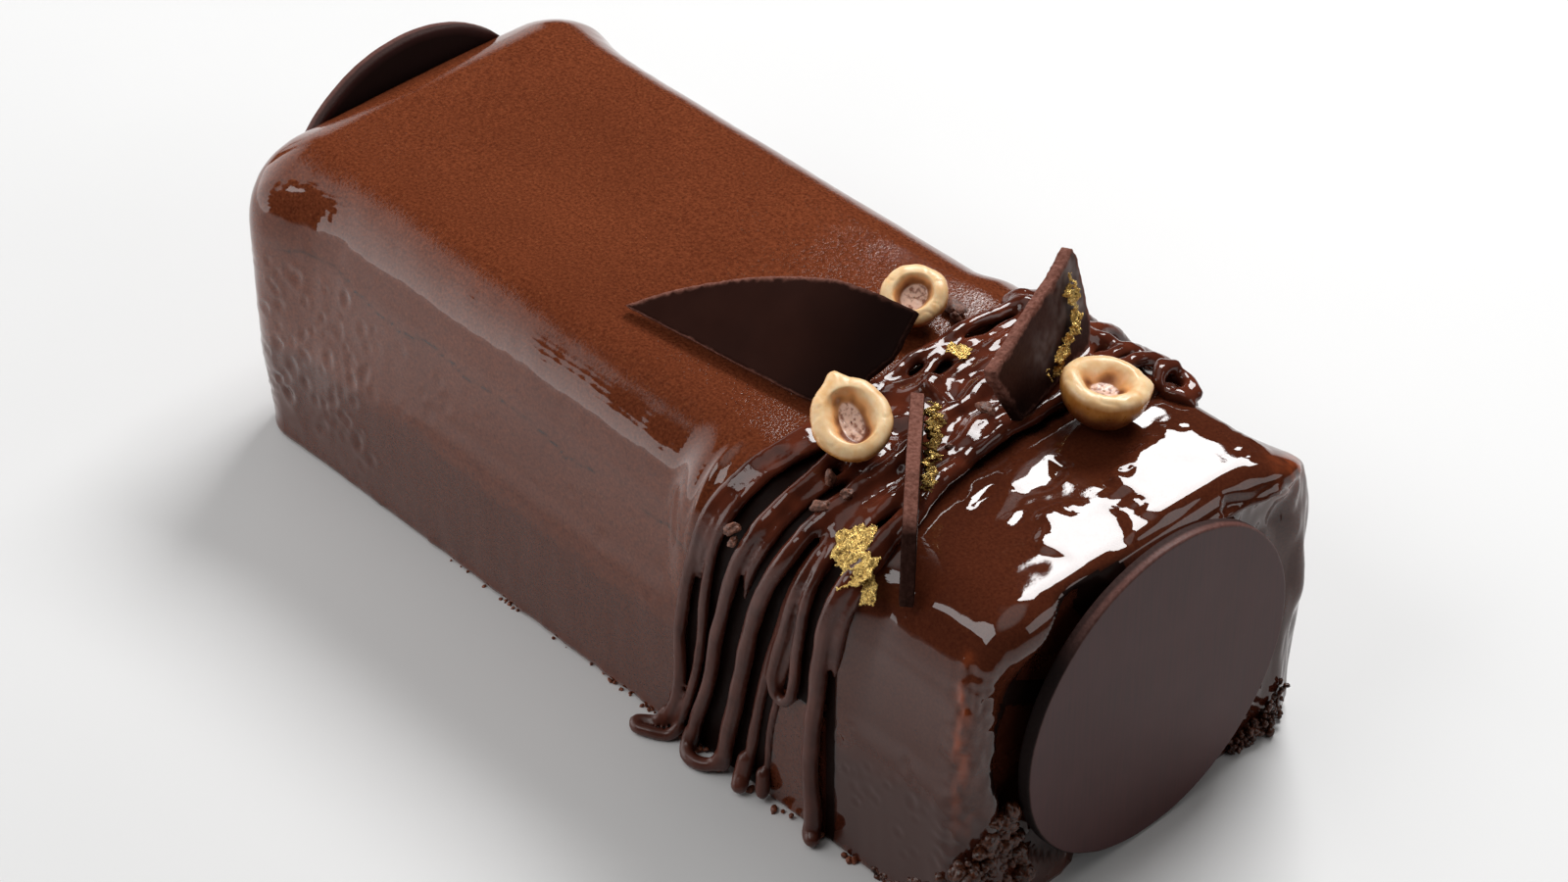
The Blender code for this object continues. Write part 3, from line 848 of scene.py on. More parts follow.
# Each strand's route, as (run round the log, place along it) from near to far; its radius; how far its
# middle stands off the glaze; and the lengths over which it sinks and thins at its two ends.
STRANDS = {
    "first": (((1, 24.6), (8, 27.7), (29, 29.6), (41, 31.8), (53, 35.0), (61, 36.6), (75, 40.2),
               (90, 39.6), (103, 38.2), (131, 38.6), (150, 36.2), (176, 32.0), (203, 27.5)),
              1.30, 1.3, (0, 0)),
    "second": (((3, 28.4), (13, 31.8), (21, 33.8), (33, 35.4), (41, 36.2), (52, 38.4), (62, 40.6),
                (75, 43.4), (92, 42.6), (110, 41.4), (131, 42.0), (152, 40.2), (178, 36.0), (203, 30.5)),
               1.05, 1.1, (0, 0)),
    "between": (((39, 33.6), (47, 35.0), (54, 37.2), (62, 38.8), (70, 41.0), (84, 42.0), (100, 40.2)),
                1.30, 0.8, (10, 12)),
    "third": (((1, 32.2), (8, 33.6), (17, 36.6), (28, 38.8), (38, 40.9), (49, 43.8), (58, 46.6),
               (67, 48.6), (80, 49.2), (100, 46.4), (131, 46.0), (154, 45.4), (180, 41.0), (203, 36.0)),
              1.40, 1.5, (0, 0)),
    "third_low": (((40, 44.4), (50, 47.0), (58, 49.2), (68, 51.6), (80, 52.6), (100, 50.0), (128, 49.6)),
                  1.0, 0.5, (12, 10)),
    "fourth": (((2, 40.6), (9, 42.1), (17, 43.9), (26, 45.8), (34, 47.3), (45, 50.2), (54, 53.4),
                (61, 55.6), (68, 57.4), (80, 57.6), (100, 53.8), (131, 52.6), (155, 52.6), (181, 47.0),
                (203, 42.0)), 1.60, 1.7, (0, 0)),
    "shaded": (((3, 46.0), (12, 47.6), (24, 49.8), (36, 52.6), (48, 56.2), (58, 58.8), (70, 60.6),
                (90, 58.4), (112, 56.6), (131, 57.0), (156, 56.0), (182, 51.5), (203, 51.0)),
               1.10, 0.3, (0, 0)),
    "behind": (((4, 50.6), (14, 51.4), (26, 53.6), (38, 57.0), (50, 60.0), (62, 62.4), (76, 62.4)),
               0.8, -0.1, (0, 8)),
    "last": (((1, 64.6), (6, 64.6), (13, 63.8), (22, 63.9), (33, 65.0), (43, 66.0), (52, 67.2),
              (60, 68.4), (70, 69.0), (84, 66.4), (100, 64.0), (131, 65.0), (156, 68.0), (184, 65.0),
              (203, 64.3)), 1.62, 1.6, (0, 0)),
    "beside_last": (((36, 67.4), (46, 68.8), (56, 70.2), (64, 70.8), (72, 69.8), (86, 67.0)),
                    1.0, 0.4, (12, 10)),
    "inner": (((66, 65.4), (84, 62.8), (100, 60.6), (131, 61.4), (157, 60.0), (183, 56.5), (203, 58.0)),
              1.7, 1.3, (10, 0)),
}
# The loop that hangs half way down the near side, as (run, place along the log).
HANGING_LOOP = ((76, 61.0), (64, 60.2), (56, 59.2), (45, 56.8), (36, 54.4), (31, 53.5), (28, 54.4),
                (27.4, 56.0), (29, 57.8), (33, 58.9), (41, 59.8), (50, 61.2), (58, 61.9), (67, 62.6),
                (80, 62.0), (96, 60.6))
# Ends and turns of strands that lie on the tabletop at the near foot: corners, each its place along
# the log, how far it is off the wall and its height, and the radius.
NEAR_TURNS = (
    (((25.2, 1.4, 4.5), (23.8, 2.4, 1.8), (21.6, 3.8, 1.3), (20.6, 5.0, 1.3), (21.8, 6.0, 1.3),
      (24.6, 5.2, 1.3), (28.0, 2.8, 1.4), (28.9, 1.4, 3.2)), 1.15),
    (((32.3, 1.6, 4.5), (32.6, 3.0, 2.0), (34.2, 4.4, 1.5), (37.6, 4.2, 1.5), (39.8, 2.8, 2.2),
      (41.0, 1.8, 4.8)), 1.40),
    (((46.6, 1.0, 7.0), (46.4, 2.0, 3.6), (47.0, 3.2, 2.1)), 1.7),
    (((50.8, 0.8, 6.0), (51.4, 1.6, 2.4)), 1.4),
    (((64.6, 1.6, 4.0), (64.8, 2.4, 2.0), (65.8, 3.0, 1.8)), 1.6),
)
# Tips of strand pulled up on top: corners, their heights measured from the log's top.
TIPS = (((46.6, -4.2, 1.0), (47.4, -3.4, 4.2), (48.2, -2.4, 7.0)),
        ((47.6, -3.0, 5.5), (50.0, -2.6, 4.0), (53.0, -3.4, 1.5)))
UNTAPERED = (0.0, 0.0)
STRAND_SPACING = 0.8


def strand_path(route, lift, taper, seed):
    """A strand's centre line over the log, wandering and rising a little."""
    runs, places = np.array(route, float).T
    count = int(abs(runs[-1] - runs[0]) / STRAND_SPACING) + 2
    at = np.linspace(runs[0], runs[-1], count)
    x = through(runs, places, at)
    line = np.column_stack([at, np.zeros(count), np.zeros(count)])
    on_top = smooth(at, 66, 78) * smooth(at, 146, 132)
    x = x + (0.25 + 0.9 * on_top) * ripples(line, 9.0, seed)
    lifts = lift + (0.12 + 0.9 * on_top) * ripples(line, 8.0, seed + 50) + 0.5 * on_top
    for reach, gone in ((taper[0], at - at[0]), (taper[1], at[-1] - at)):
        if reach:
            lifts -= 0.9 * smooth(gone, reach, 0.0)
    section, _ = on_outline(at, lifts)
    return np.column_stack([x, section])


def loop_path(route, lift):
    """A centre line through (run, x) pairs that may turn back on itself."""
    pairs = np.array(route, float)
    steps = distances(pairs)
    at = np.linspace(0.0, steps[-1], int(steps[-1] / STRAND_SPACING))
    curve = through(steps, pairs, at)
    section, _ = on_outline(curve[:, 0], lift)
    return np.column_stack([curve[:, 1], section])


def free_path(*corners):
    """A smooth line through points in space."""
    corners = np.array(corners, float)
    steps = distances(corners)
    count = max(6, int(steps[-1] / 0.6))
    return through(steps, corners, np.linspace(0.0, steps[-1], count))


def from_wall(side, corners):
    """A smooth line beside the log's near (-1) or far (1) foot, its corners (x, off the wall, z)."""
    return free_path(*[(x, side * (HALF_WIDTH + out), z) for x, out, z in corners])


def strand_lines():
    """Every strand's centre line, its radii and its tapers."""
    lines = []
    for index, (route, radius, lift, taper) in enumerate(STRANDS.values()):
        path = strand_path(route, lift, taper, 60 + index)
        swell = 1.0 + 0.10 * ripples(path, 6.0, 80 + index)
        swell += 0.14 * smooth(path[:, 2], 50, 63) * (path[:, 1] < 30)
        swell += 0.06 * smooth(path[:, 2], HEIGHT - 4, HEIGHT) * smooth(path[:, 1], 30, 24)
        lines.append((path, radius * swell, taper))
    lines.append((loop_path(HANGING_LOOP, 1.15), 1.12, (6.0, 0.0)))
    for corners, radius in NEAR_TURNS:
        lines.append((from_wall(-1, corners), radius, UNTAPERED))
    return lines + crown_lines() + far_turns()


def crown_lines():
    """Broad folds, crossing strands and pulled-up tips where the ganache piles up on top."""
    rng = np.random.default_rng(31)
    lines = []
    for _ in range(9):
        x = rng.uniform(41.5, 61)
        y = rng.uniform(-19, 31)
        heading = rng.normal(math.pi / 2, 0.35)
        reach = rng.uniform(7, 14)
        step = np.array([math.cos(heading), math.sin(heading), 0.0]) * reach / 2
        middle = np.array([x, y, HEIGHT + rng.uniform(1.4, 2.6)])
        sag = np.array([0.0, 0.0, rng.uniform(1.2, 2.0)])
        side = np.array([math.sin(heading), -math.cos(heading), 0.0]) * rng.uniform(-2.0, 2.0)
        start = middle - step - sag + side
        end = middle + step - sag + side
        start[0] = np.clip(start[0], 40.0, 63.5)
        end[0] = np.clip(end[0], 40.0, 63.5)
        lines.append((free_path(start, middle, end), rng.uniform(1.9, 2.7), (5.0, 5.0)))
    for tip in TIPS:
        lines.append((free_path(*[(x, y, HEIGHT + z) for x, y, z in tip]), 1.15, (0.0, 2.0)))
    return lines


def shoulder_height(y):
    """How high the log stands at a place on its far shoulder."""
    return HEIGHT - SHOULDER + math.sqrt(SHOULDER**2 - max(0.0, y - HALF_WIDTH + SHOULDER) ** 2)


def far_turns():
    """Folds piled at the far edge of the top, and the turns at the far foot."""
    lines = []
    rng = np.random.default_rng(8)
    for x, y in ((37.6, 32.6), (40.4, 30.4), (51.8, 34.6), (61.0, 35.4), (56.4, 33.2)):
        height = shoulder_height(y)
        corners = (x - 1.6, y - 2.2, height + 0.8), (x, y, height + 2.0), (x + 1.8, y + 1.2, height + 0.4)
        lines.append((free_path(*corners), rng.uniform(1.5, 2.0), UNTAPERED))
    # A heap of folded strand beside the last hazelnut.
    for step in range(7):
        turn = step * 1.9
        x = 73.4 + 3.2 * math.cos(turn) + 0.4 * step
        y = 33.4 + 2.4 * math.sin(turn)
        spot = np.array([x, y, shoulder_height(y) + 0.8 + 1.2 * (step % 3)])
        swing = np.array([math.sin(turn), -math.cos(turn), 0.15]) * 2.6
        path = free_path(spot - swing, spot + [0, 0, 0.9], spot + swing)
        lines.append((path, rng.uniform(1.1, 1.7), UNTAPERED))
    for first, second in ((30.5, 36.0), (42.0, 51.0), (58.0, 64.3)):
        corners = ((first, 1.3, 3.6), (first + 1.0, 2.8, 1.6), ((first + second) / 2, 4.2, 1.3),
                   (second - 1.0, 2.8, 1.6), (second, 1.3, 3.6))
        lines.append((from_wall(1, corners), 1.3, UNTAPERED))
    return lines


def crown_pools():
    """Flat puddles of ganache that fill in between the strands on top."""
    rng = np.random.default_rng(37)
    ball, ball_faces = ball_shape(3)
    pools = []
    for index in range(20):
        size = np.array([rng.uniform(4.0, 6.0), rng.uniform(5.0, 9.0), rng.uniform(2.7, 4.0)])
        centre = np.array([rng.uniform(44.5, 60.5), rng.uniform(-21.0, 29.0), HEIGHT])
        shape = ball * (1.0 + 0.30 * ripples(ball + 3.0 * index, 0.9, 33))[:, None]
        pools.append((centre + shape * size, ball_faces))
    return pools


def along_strands(points, lines):
    """For each point, a place whose noise runs along the nearest strand and turns round it."""
    tangents = np.concatenate([unit(np.gradient(path, axis=0)) for path, _, _ in lines])
    lengths = np.concatenate([distances(path) for path, _, _ in lines])
    which = np.concatenate([np.full(len(path), index) for index, (path, _, _) in enumerate(lines)])
    spots = np.concatenate([path for path, _, _ in lines])
    numbers, _ = nearest(spots, points)
    tangents = tangents[numbers]
    offsets = unit(points - spots[numbers])
    across = unit(np.cross(tangents, [0.2, -0.6, 0.75]))
    angle = np.arctan2(np.einsum("ij,ij->i", offsets, np.cross(tangents, across)),
                       np.einsum("ij,ij->i", offsets, across))
    further = lengths[numbers] / 9.0 + 7.0 * which[numbers]
    return np.column_stack([np.cos(angle) * 2.4, np.sin(angle) * 2.4, further])


def make_strands(material):
    """Fuse the strands into one ganache body with soft creases between them, and ridge it along them."""
    lines = strand_lines()
    tubes = [tube(*line) for line in lines]
    points, faces = fuse(tubes + crown_pools(), 0.44)
    points = relax(points, faces, 2)
    top = smooth(points[:, 2], WALL + 8, HEIGHT - 1)[:, None]
    points = points + top * (relax(points, faces, 16) - points)
    normals = face_normals(points, faces)
    ridge = ripples(along_strands(points, lines), 1.0, 41, 2)
    top = top[:, 0]
    lift = (0.11 - 0.07 * top) * ridge + 0.03 * (1 - top) * ripples(points, 1.3, 42)
    lift += top * (0.30 * ripples(points, 4.2, 43) + 0.12 * ripples(points, 1.8, 45))
    points = points + normals * lift[:, None]
    points[:, 2] = np.maximum(points[:, 2], 0.02)
    thin = np.clip(top * (0.20 + 0.9 * ripples(points, 4.0, 44)), 0, 1)
    marks = {"wet": smooth(points[:, 2], WALL + 4, HEIGHT - 3), "thin": thin}
    add_piece("ganache_strands", points, faces.tolist(), material, "ganache",
              ("ganache_rope_a", "ganache_rope_b"), marks)


# ---------------------------------------------------------------- discs and shards

DISC_SIDES = 220


def disc_profile(radius, half, eased):
    """Half the section of a round plate, as (reach, level): face, eased edge, rim, edge and face."""
    turn = np.radians([0, 20, 45, 70, 90])
    profile = [(radius * share, half) for share in np.linspace(0.04, 0.98, 22)]
    profile += [(radius - eased + eased * math.sin(a), half - eased + eased * math.cos(a)) for a in turn]
    profile += [(radius, level) for level in np.linspace(half - 2 * eased, -half + 2 * eased, 5)]
    profile += [(radius - eased + eased * math.cos(a), -half + eased - eased * math.sin(a)) for a in turn]
    return profile + [(radius * share, -half) for share in np.linspace(0.98, 0.04, 22)]


def make_disc(node, material, seed):
    """A round chocolate plate: flat, faintly wavy faces and a slightly worn edge."""
    low, high = box_mm(node)
    centre = (low + high) / 2
    radius = (high[1] - low[1]) / 2
    half = (high[0] - low[0]) / 2
    profile = disc_profile(radius, half, 0.45)
    points = np.roll(turned(profile, DISC_SIDES)[0], 1, axis=1)
    outward = unit(points * [0.0, 1.0, 1.0])
    reach = np.hypot(points[:, 1], points[:, 2])
    around = outward * radius
    uneven = 0.10 * ripples(around, 7.0, seed) - 0.12 + 0.05 * ripples(around, 1.6, seed + 1)
    points = points + outward * (smooth(reach, radius - 1.5, radius) * uneven)[:, None]
    on_rim = smooth(reach, radius - 0.5, radius - 0.15)
    # Painted shade: the rim is dark behind its outer edge. The front plate's is dark towards the near side
    # too, and the back plate's inner face is dark.
    outer = 1.0 if centre[0] > 0 else -1.0
    behind = smooth(outer * points[:, 0], 0.35 * half, -0.2 * half)
    if outer > 0:
        to_near = smooth(outward[:, 1], 0.05, -0.55) * smooth(outward[:, 2], 0.95, 0.6)
        dark = on_rim * np.maximum(0.75 * behind, 0.95 * to_near)
    else:
        inner_face = (points[:, 0] > half * 0.97) * smooth(reach, radius - 0.3, radius - 1.2)
        dark = np.maximum(on_rim * 0.75 * behind, 0.85 * inner_face)
    points[:, 0] += 0.05 * ripples(points, 22.0, seed + 2) * np.sign(points[:, 0])
    points, faces = close_ends(points, ring_faces(len(profile), DISC_SIDES), DISC_SIDES)
    marks = {"edge": np.append(on_rim * 0.42, [0.0, 0.0]), "dark": np.append(dark, [dark[0], 0.0]),
             "bloom": np.zeros(len(points))}
    add_piece(node + "_plate", points + centre, faces, material, "dark_chocolate", (node,), marks)


def plate_axes(node):
    """A CAD plate's points and faces in mm, and its own axes: along it, up it and across it."""
    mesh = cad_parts[node].data
    points = np.array([vertex.co for vertex in mesh.vertices]) / MM
    faces = [list(face.vertices) for face in mesh.polygons]
    areas = np.array([face.area for face in mesh.polygons])
    normals = np.array([face.normal for face in mesh.polygons])
    across = normals[areas.argmax()]
    facing = normals @ across
    across = unit((normals[facing > 0.999] * areas[facing > 0.999, None]).sum(0))
    along = unit(np.cross([0.0, 0.0, 1.0], across))
    return points, faces, np.array([along, np.cross(across, along), across])


def prism(outline, bottom, top):
    """A flat-faced solid over an outline that runs anticlockwise."""
    count = len(outline)
    points = [(u, v, bottom) for u, v in outline] + [(u, v, top) for u, v in outline]
    faces = [list(range(count))[::-1], list(range(count, 2 * count))]
    for side in range(count):
        beside = (side + 1) % count
        faces.append([side, beside, count + beside, count + side])
    return points, faces


def make_shard(node, material, voxel, roughness, seed, rim, top_rim=None, worn=0.0, dark=None,
               bloom=None, corner=()):
    """A broken plate of chocolate: flat faces, and rough, paler edges that reach rim mm into them.

    Along the top they reach top_rim mm. Worn is how much of the edge's look the faces have. Dark gives
    the painted shade, and the sheen argument after it a painted grey sheen, from the shares of the way along
    and up the plate. Corner is an outline, in those shares, to fill in.
    """
    points, faces, axes = plate_axes(node)
    flat = points @ axes.T
    low, high = flat.min(0), flat.max(0)
    middle = (low[2] + high[2]) / 2
    half = (high[2] - low[2]) / 2
    solids = [(flat, faces)]
    if corner:
        solids.append(prism(low[:2] + (high[:2] - low[:2]) * np.array(corner), low[2], high[2]))
    spots, quads = fuse(solids, voxel)
    normals = face_normals(spots, quads)
    # Each point's gap to the nearest wall of the broken edge, and the way that wall faces.
    across = (spots[:, 2] - middle) / half
    walls = np.flatnonzero(np.abs(across) < 1 - 0.55 * voxel / half)
    level = np.array([1.0, 1.0, 0.0])
    numbers, gap = nearest(spots[walls] * level, spots * level)
    way = unit(normals[walls[numbers], :2])
    on_face = np.ones(len(spots), bool)
    on_face[walls] = False
    spots[:, 2] = np.where(on_face, middle + half * np.sign(across), spots[:, 2])
    across = (spots[:, 2] - middle) / half
    # Rough, chipped walls, and faces that ease over towards them.
    rough = roughness * (ripples(spots, 1.8, seed, 2) + 0.5 * ripples(spots, 0.7, seed + 1))
    chips = -1.2 * roughness * smooth(ripples(spots, 2.4, seed + 2), 0.25, 0.6) * np.abs(across)
    spots[:, :2] += way * (smooth(gap, 0.9, 0.1) * (rough + chips - 0.10))[:, None]
    spots[:, 2] -= 0.16 * np.sign(across) * smooth(gap, 0.55, 0.0) * on_face
    spots = relax(spots, quads, 1, 0.35)
    reach = rim + ((top_rim or rim) - rim) * smooth(way[:, 1], 0.35, 0.7)
    reach *= 1.0 + 0.7 * ripples(spots, 1.6, seed + 3, 2)
    edge = np.maximum(np.where(on_face, smooth(gap, reach, reach * 0.35), 1.0), worn)
    along_up = (spots[:, :2] - low[:2]) / (high[:2] - low[:2])
    mottle = ripples(spots, 2.0, seed + 4, 2)
    none = np.zeros(len(spots))
    marks = {
        "edge": edge,
        "dark": dark(*along_up.T) if dark else none,
        "bloom": np.clip(bloom(*along_up.T) * (1.0 + mottle), 0, 1) if bloom else none,
    }
    add_piece(node + "_plate", spots @ axes, quads.tolist(), material, "dark_chocolate", (node,), marks)


# ---------------------------------------------------------------- hazelnuts

# Half width, the long way's stretch, depth under the cut, centre of the cut, heading that it faces, its
# tilt, its turn in its own plane and how far its tip stands out; then the hollow's share of the half
# width, its stretch beyond the nut's own, and the share at which the inner side meets the lip.
NUTS = {
    "hazelnut_a": dict(radius=7.1, stretch=1.14, depth=6.4, place=(50.9, -24.2, 77.3), heading=-48.0,
                       tilt=24.0, turn=24.0, tip=1.7, hollow=0.27, length=1.75, crest=0.72),
    "hazelnut_b": dict(radius=6.1, stretch=1.06, depth=6.6, place=(29.3, 12.4, 73.3), heading=-52.0,
                       tilt=26.0, turn=-28.0, tip=0.0, hollow=0.37, length=1.15, crest=0.66),
    "hazelnut_c": dict(radius=7.9, stretch=1.02, depth=9.2, place=(72.7, 17.0, 75.9), heading=62.0,
                       tilt=11.0, turn=178.0, tip=0.8, hollow=0.26, length=1.20, crest=0.74),
}
NUT_SIDES = 128
# The rings of a nut's section that make its hollow and its inner side.
NUT_INNER_RINGS = 34


def nut_section(radius, depth, hollow, crest):
    """Half the section of a cut hazelnut: hollow, sloping inner side, round lip, outside."""
    floor = -0.36
    lip = -0.24
    section = [(hollow * share, floor - 0.03 * (1 - share**2)) for share in np.linspace(0.06, 0.95, 12)]
    section += [(hollow + (crest - hollow) * share, floor * (1 - smooth(share**0.75, 0, 1)))
                for share in np.linspace(0.04, 1.0, 22)]
    section += [(crest + (1 - crest) * math.sin(a), lip * (1 - math.cos(a)))
                for a in np.radians(np.linspace(8, 90, 12))]
    section += [(math.cos(a) ** 0.9, lip + (lip + depth / radius) * -math.sin(a))
                for a in np.radians(np.linspace(4, 86, 24))]
    return radius * np.array([(float(reach), float(level)) for reach, level in section])


def make_nut(node, material, seed):
    """Half a hazelnut with its cut up: a hollow, a browned funnel round it that darkens to painted shade at
    the hollow, a lip and the outside, with painted shade under it.
    """
    nut = NUTS[node]
    radius, hollow, crest = nut["radius"], nut["hollow"], nut["crest"]
    section = nut_section(radius, nut["depth"], hollow, crest)
    points, angles = turned(section, NUT_SIDES)
    points = points[:, [1, 0, 2]]
    inner = np.repeat(np.arange(len(section)) < NUT_INNER_RINGS, NUT_SIDES)
    reach = np.hypot(points[:, 0], points[:, 1]) / radius
    level = points[:, 2] / radius
    pointing = np.arctan2(points[:, 0], points[:, 1]) / math.radians(14.0)
    points[:, 1] *= nut["stretch"] * (1 + (nut["length"] - 1) * smooth(reach, crest, hollow) * inner)
    points[:, 1] += nut["tip"] * smooth(reach, crest * 0.9, 1.0) * np.exp(-(pointing**2))
    # The lip rises and dips round the nut, and the outline wanders.
    around = np.column_stack([np.sin(angles), np.cos(angles), np.zeros(NUT_SIDES)]) * 3.0
    wave = np.tile(ripples(around, 2.6, seed + 9), len(section))
    points[:, 2] += 0.55 * wave * smooth(reach, hollow, crest) * smooth(level, -0.9, -0.1)
    points[:, :2] *= (1.0 + 0.035 * np.tile(ripples(around, 2.2, seed + 8), len(section)))[:, None]
    faces = np.array(ring_faces(len(section), NUT_SIDES))[:, ::-1]
    normals = face_normals(points, faces)
    inside = smooth(reach, hollow * 1.10, hollow * 0.90) * inner
    crinkle = 0.20 * ripples(points, (1.6, 1.6, 3.6), seed + 3, 2) * inside
    body = 0.18 * ripples(points, 4.2, seed, 2) + 0.04 * ripples(points, 1.4, seed + 1, 2)
    seams = -0.10 * smooth(np.abs(ripples(points, (4.0, 4.0, 12.0), seed + 5)), 0.10, 0.0)
    points = points + normals * ((body + seams * ~inner) * (1 - inside) + crinkle)[:, None]
    mottle = ripples(points, 3.2, seed + 7, 2)
    start = min(hollow + 0.36, crest * 0.92)
    funnel = smooth(reach, start + 0.10 * mottle, hollow * 1.04) * inner
    outside = ~inner * smooth(level, -0.05, -0.26)
    # The funnel's mark is part roast browning, part painted shade; the under mark is painted shade.
    marks = {
        "hollow": np.clip(inside * 1.2, 0, 1),
        "toast_and_shade": np.clip(funnel * (0.95 + 0.35 * mottle), 0, 1),
        "low": outside,
        "under": outside * smooth(level, -0.25, -0.70),
    }
    faces = faces.tolist()
    last = (len(section) - 1) * NUT_SIDES
    faces.append(list(range(NUT_SIDES)))
    faces.append([last + side for side in reversed(range(NUT_SIDES))])
    heading, tilt, turn = (math.radians(nut[key]) for key in ("heading", "tilt", "turn"))
    spin = (Matrix.Rotation(heading + math.pi / 2, 3, "Z") @ Matrix.Rotation(tilt, 3, "X")
            @ Matrix.Rotation(turn, 3, "Z"))
    points = points @ np.array(spin).T + np.array(nut["place"])
    add_piece(node + "_half", points, faces, material, "hazelnut", (node,), marks)


# ---------------------------------------------------------------- gold leaf


def leaf(size, seed, bend, loft=1.0):
    """A scrap of crumpled leaf with a torn outline, its folds about loft mm high.

    Bend turns flat (u, v) pairs and a rise above what the scrap lies on into points.
    """
    rng = np.random.default_rng(seed)
    length, width = size
    step = 0.22
    u = np.arange(-length / 2, length / 2 + step, step)
    v = np.arange(-width / 2, width / 2 + step, step)
    grid = np.stack(np.meshgrid(u, v, indexing="ij"), -1).reshape(-1, 2)
    flat = np.column_stack([grid, np.zeros(len(grid))])
    folds = 0.55 * ripples(flat, 1.5, seed, 3) + 0.30 * np.abs(ripples(flat, 0.8, seed + 1, 2))
    points = bend(grid, 0.30 + loft * (folds - 0.6 * folds.min()))
    reach = np.maximum(np.abs(grid[:, 0]) / (length / 2), np.abs(grid[:, 1]) / (width / 2))
    torn = reach + 0.42 * ripples(flat, 2.0, seed + 2, 3) + 0.1 * rng.uniform(-1, 1)
    keep = torn < 0.86
    index = np.arange(len(grid)).reshape(len(u), len(v))
    quads = np.stack([index[:-1, :-1], index[1:, :-1], index[1:, 1:], index[:-1, 1:]], -1).reshape(-1, 4)
    quads = quads[keep[quads].all(1)]
    used, quads = np.unique(quads, return_inverse=True)
    return points[used], quads.reshape(-1, 4)


def over_strands(x, run, lift, angle):
    """A bend that lays a scrap over the strands, turned by an angle."""
    turn = math.radians(angle)

    def bend(grid, rise):
        px = x + grid[:, 0] * math.cos(turn) - grid[:, 1] * math.sin(turn)
        runs = run + grid[:, 0] * math.sin(turn) + grid[:, 1] * math.cos(turn)
        section, _ = on_outline(runs, lift + rise)
        return np.column_stack([px, section])

    return bend


def along_plate(node, *shares):
    """A bend that lays a scrap on a shard's face, along a line through shares of the way along and up."""
    points, _, axes = plate_axes(node)
    if axes[2] @ np.array([1.0, 0.3, 0.0]) < 0:
        axes = axes * np.array([-1.0, 1.0, -1.0])[:, None]
    flat = points @ axes.T
    low, high = flat.min(0), flat.max(0)
    line = low[:2] + (high[:2] - low[:2]) * np.array(shares)
    steps = distances(line)

    def bend(grid, rise):
        at = grid[:, 0] + steps[-1] / 2
        spot = through(steps, line, at)
        way = unit(through(steps, line, at + 0.2) - through(steps, line, at - 0.2))
        spot = spot + grid[:, 1:] * np.column_stack([-way[:, 1], way[:, 0]])
        return np.column_stack([spot, high[2] + rise]) @ axes

    return bend, steps[-1]


def make_gold(material):
    """All the scraps of gold leaf as one thin closed piece."""
    spike, spike_length = along_plate("shard_spike", (0.79, 0.86), (0.83, 0.58), (0.81, 0.40),
                                      (0.70, 0.29), (0.58, 0.23), (0.46, 0.15))
    high, high_length = along_plate("shard_blade", (0.72, 0.74), (0.85, 0.78), (0.96, 0.88))
    low, low_length = along_plate("shard_blade", (0.42, 0.80), (0.54, 0.76), (0.66, 0.72))
    points, faces = joined([
        leaf((11.0, 8.0), 301, over_strands(67.4, 64.8, 2.4, -38.0)),
        leaf((7.5, 4.0), 305, over_strands(72.9, 61.4, 1.2, -60.0)),
        leaf((5.0, 4.0), 309, over_strands(44.0, 112.0, 3.6, 20.0)),
        leaf((spike_length, 4.4), 321, spike, 2.0),
        leaf((high_length, 7.0), 311, high, 4.4),
        leaf((low_length, 6.4), 316, low, 4.0),
    ])
    piece = add_piece("gold_leaf_scraps", points, faces, material, "gold_leaf")
    thicken = piece.modifiers.new("thickness", "SOLIDIFY")
    thicken.thickness = 0.08 * MM
    thicken.offset = 0.0


# ---------------------------------------------------------------- chocolate bits and crumbs

# Each chip's place along the log, its run, its lift off the log and its half width.
BITS = ((42.6, 57.4, 2.8, 1.5), (43.6, 55.6, 2.6, 1.0), (53.2, 72.0, 3.6, 1.4), (56.6, 67.6, 3.6, 1.6),
        (58.2, 71.4, 3.2, 0.9), (47.0, 84.0, 3.6, 0.9), (55.0, 96.0, 4.2, 1.1), (58.8, 104.0, 4.0, 1.3),
        (49.8, 120.0, 4.0, 1.2), (61.5, 92.0, 3.4, 0.9), (31.5, 123.6, 1.0, 1.9), (33.6, 121.8, 0.8, 1.2))
# Crumbs at the near foot, and a last row at the far one: how many, the spans of their places along X,
# across and up, and of their half widths.
CRUMBS = (
    (22, (-45, 22), (-HALF_WIDTH - 0.5, -HALF_WIDTH + 0.2), (0.0, 0.2), (0.15, 0.38)),
    (8, (8, 20), (-HALF_WIDTH - 0.8, -HALF_WIDTH), (0.1, 0.4), (0.3, 0.6)),
    (20, (20, 74), (-HALF_WIDTH - 2.2, -HALF_WIDTH), (0.2, 0.8), (0.3, 0.8)),
    (30, (-96, 98), (HALF_WIDTH - 0.2, HALF_WIDTH + 1.0), (0.1, 0.5), (0.25, 0.7)),
)


def make_bits():
    """Chips of chocolate caught among the strands."""
    places = [np.array([x, *on_outline(run, lift)[0]]) for x, run, lift, _ in BITS]
    points, faces = lumps(places, [size for *_, size in BITS], 401, 3, 0.42, 0.9, 0.40)
    material = crumb_finish("chocolate_bits", (0.070, 0.024, 0.014), (0.270, 0.110, 0.070), 0.42)
    add_piece("chocolate_bits", points, faces.tolist(), material, "dark_chocolate", crease=38)


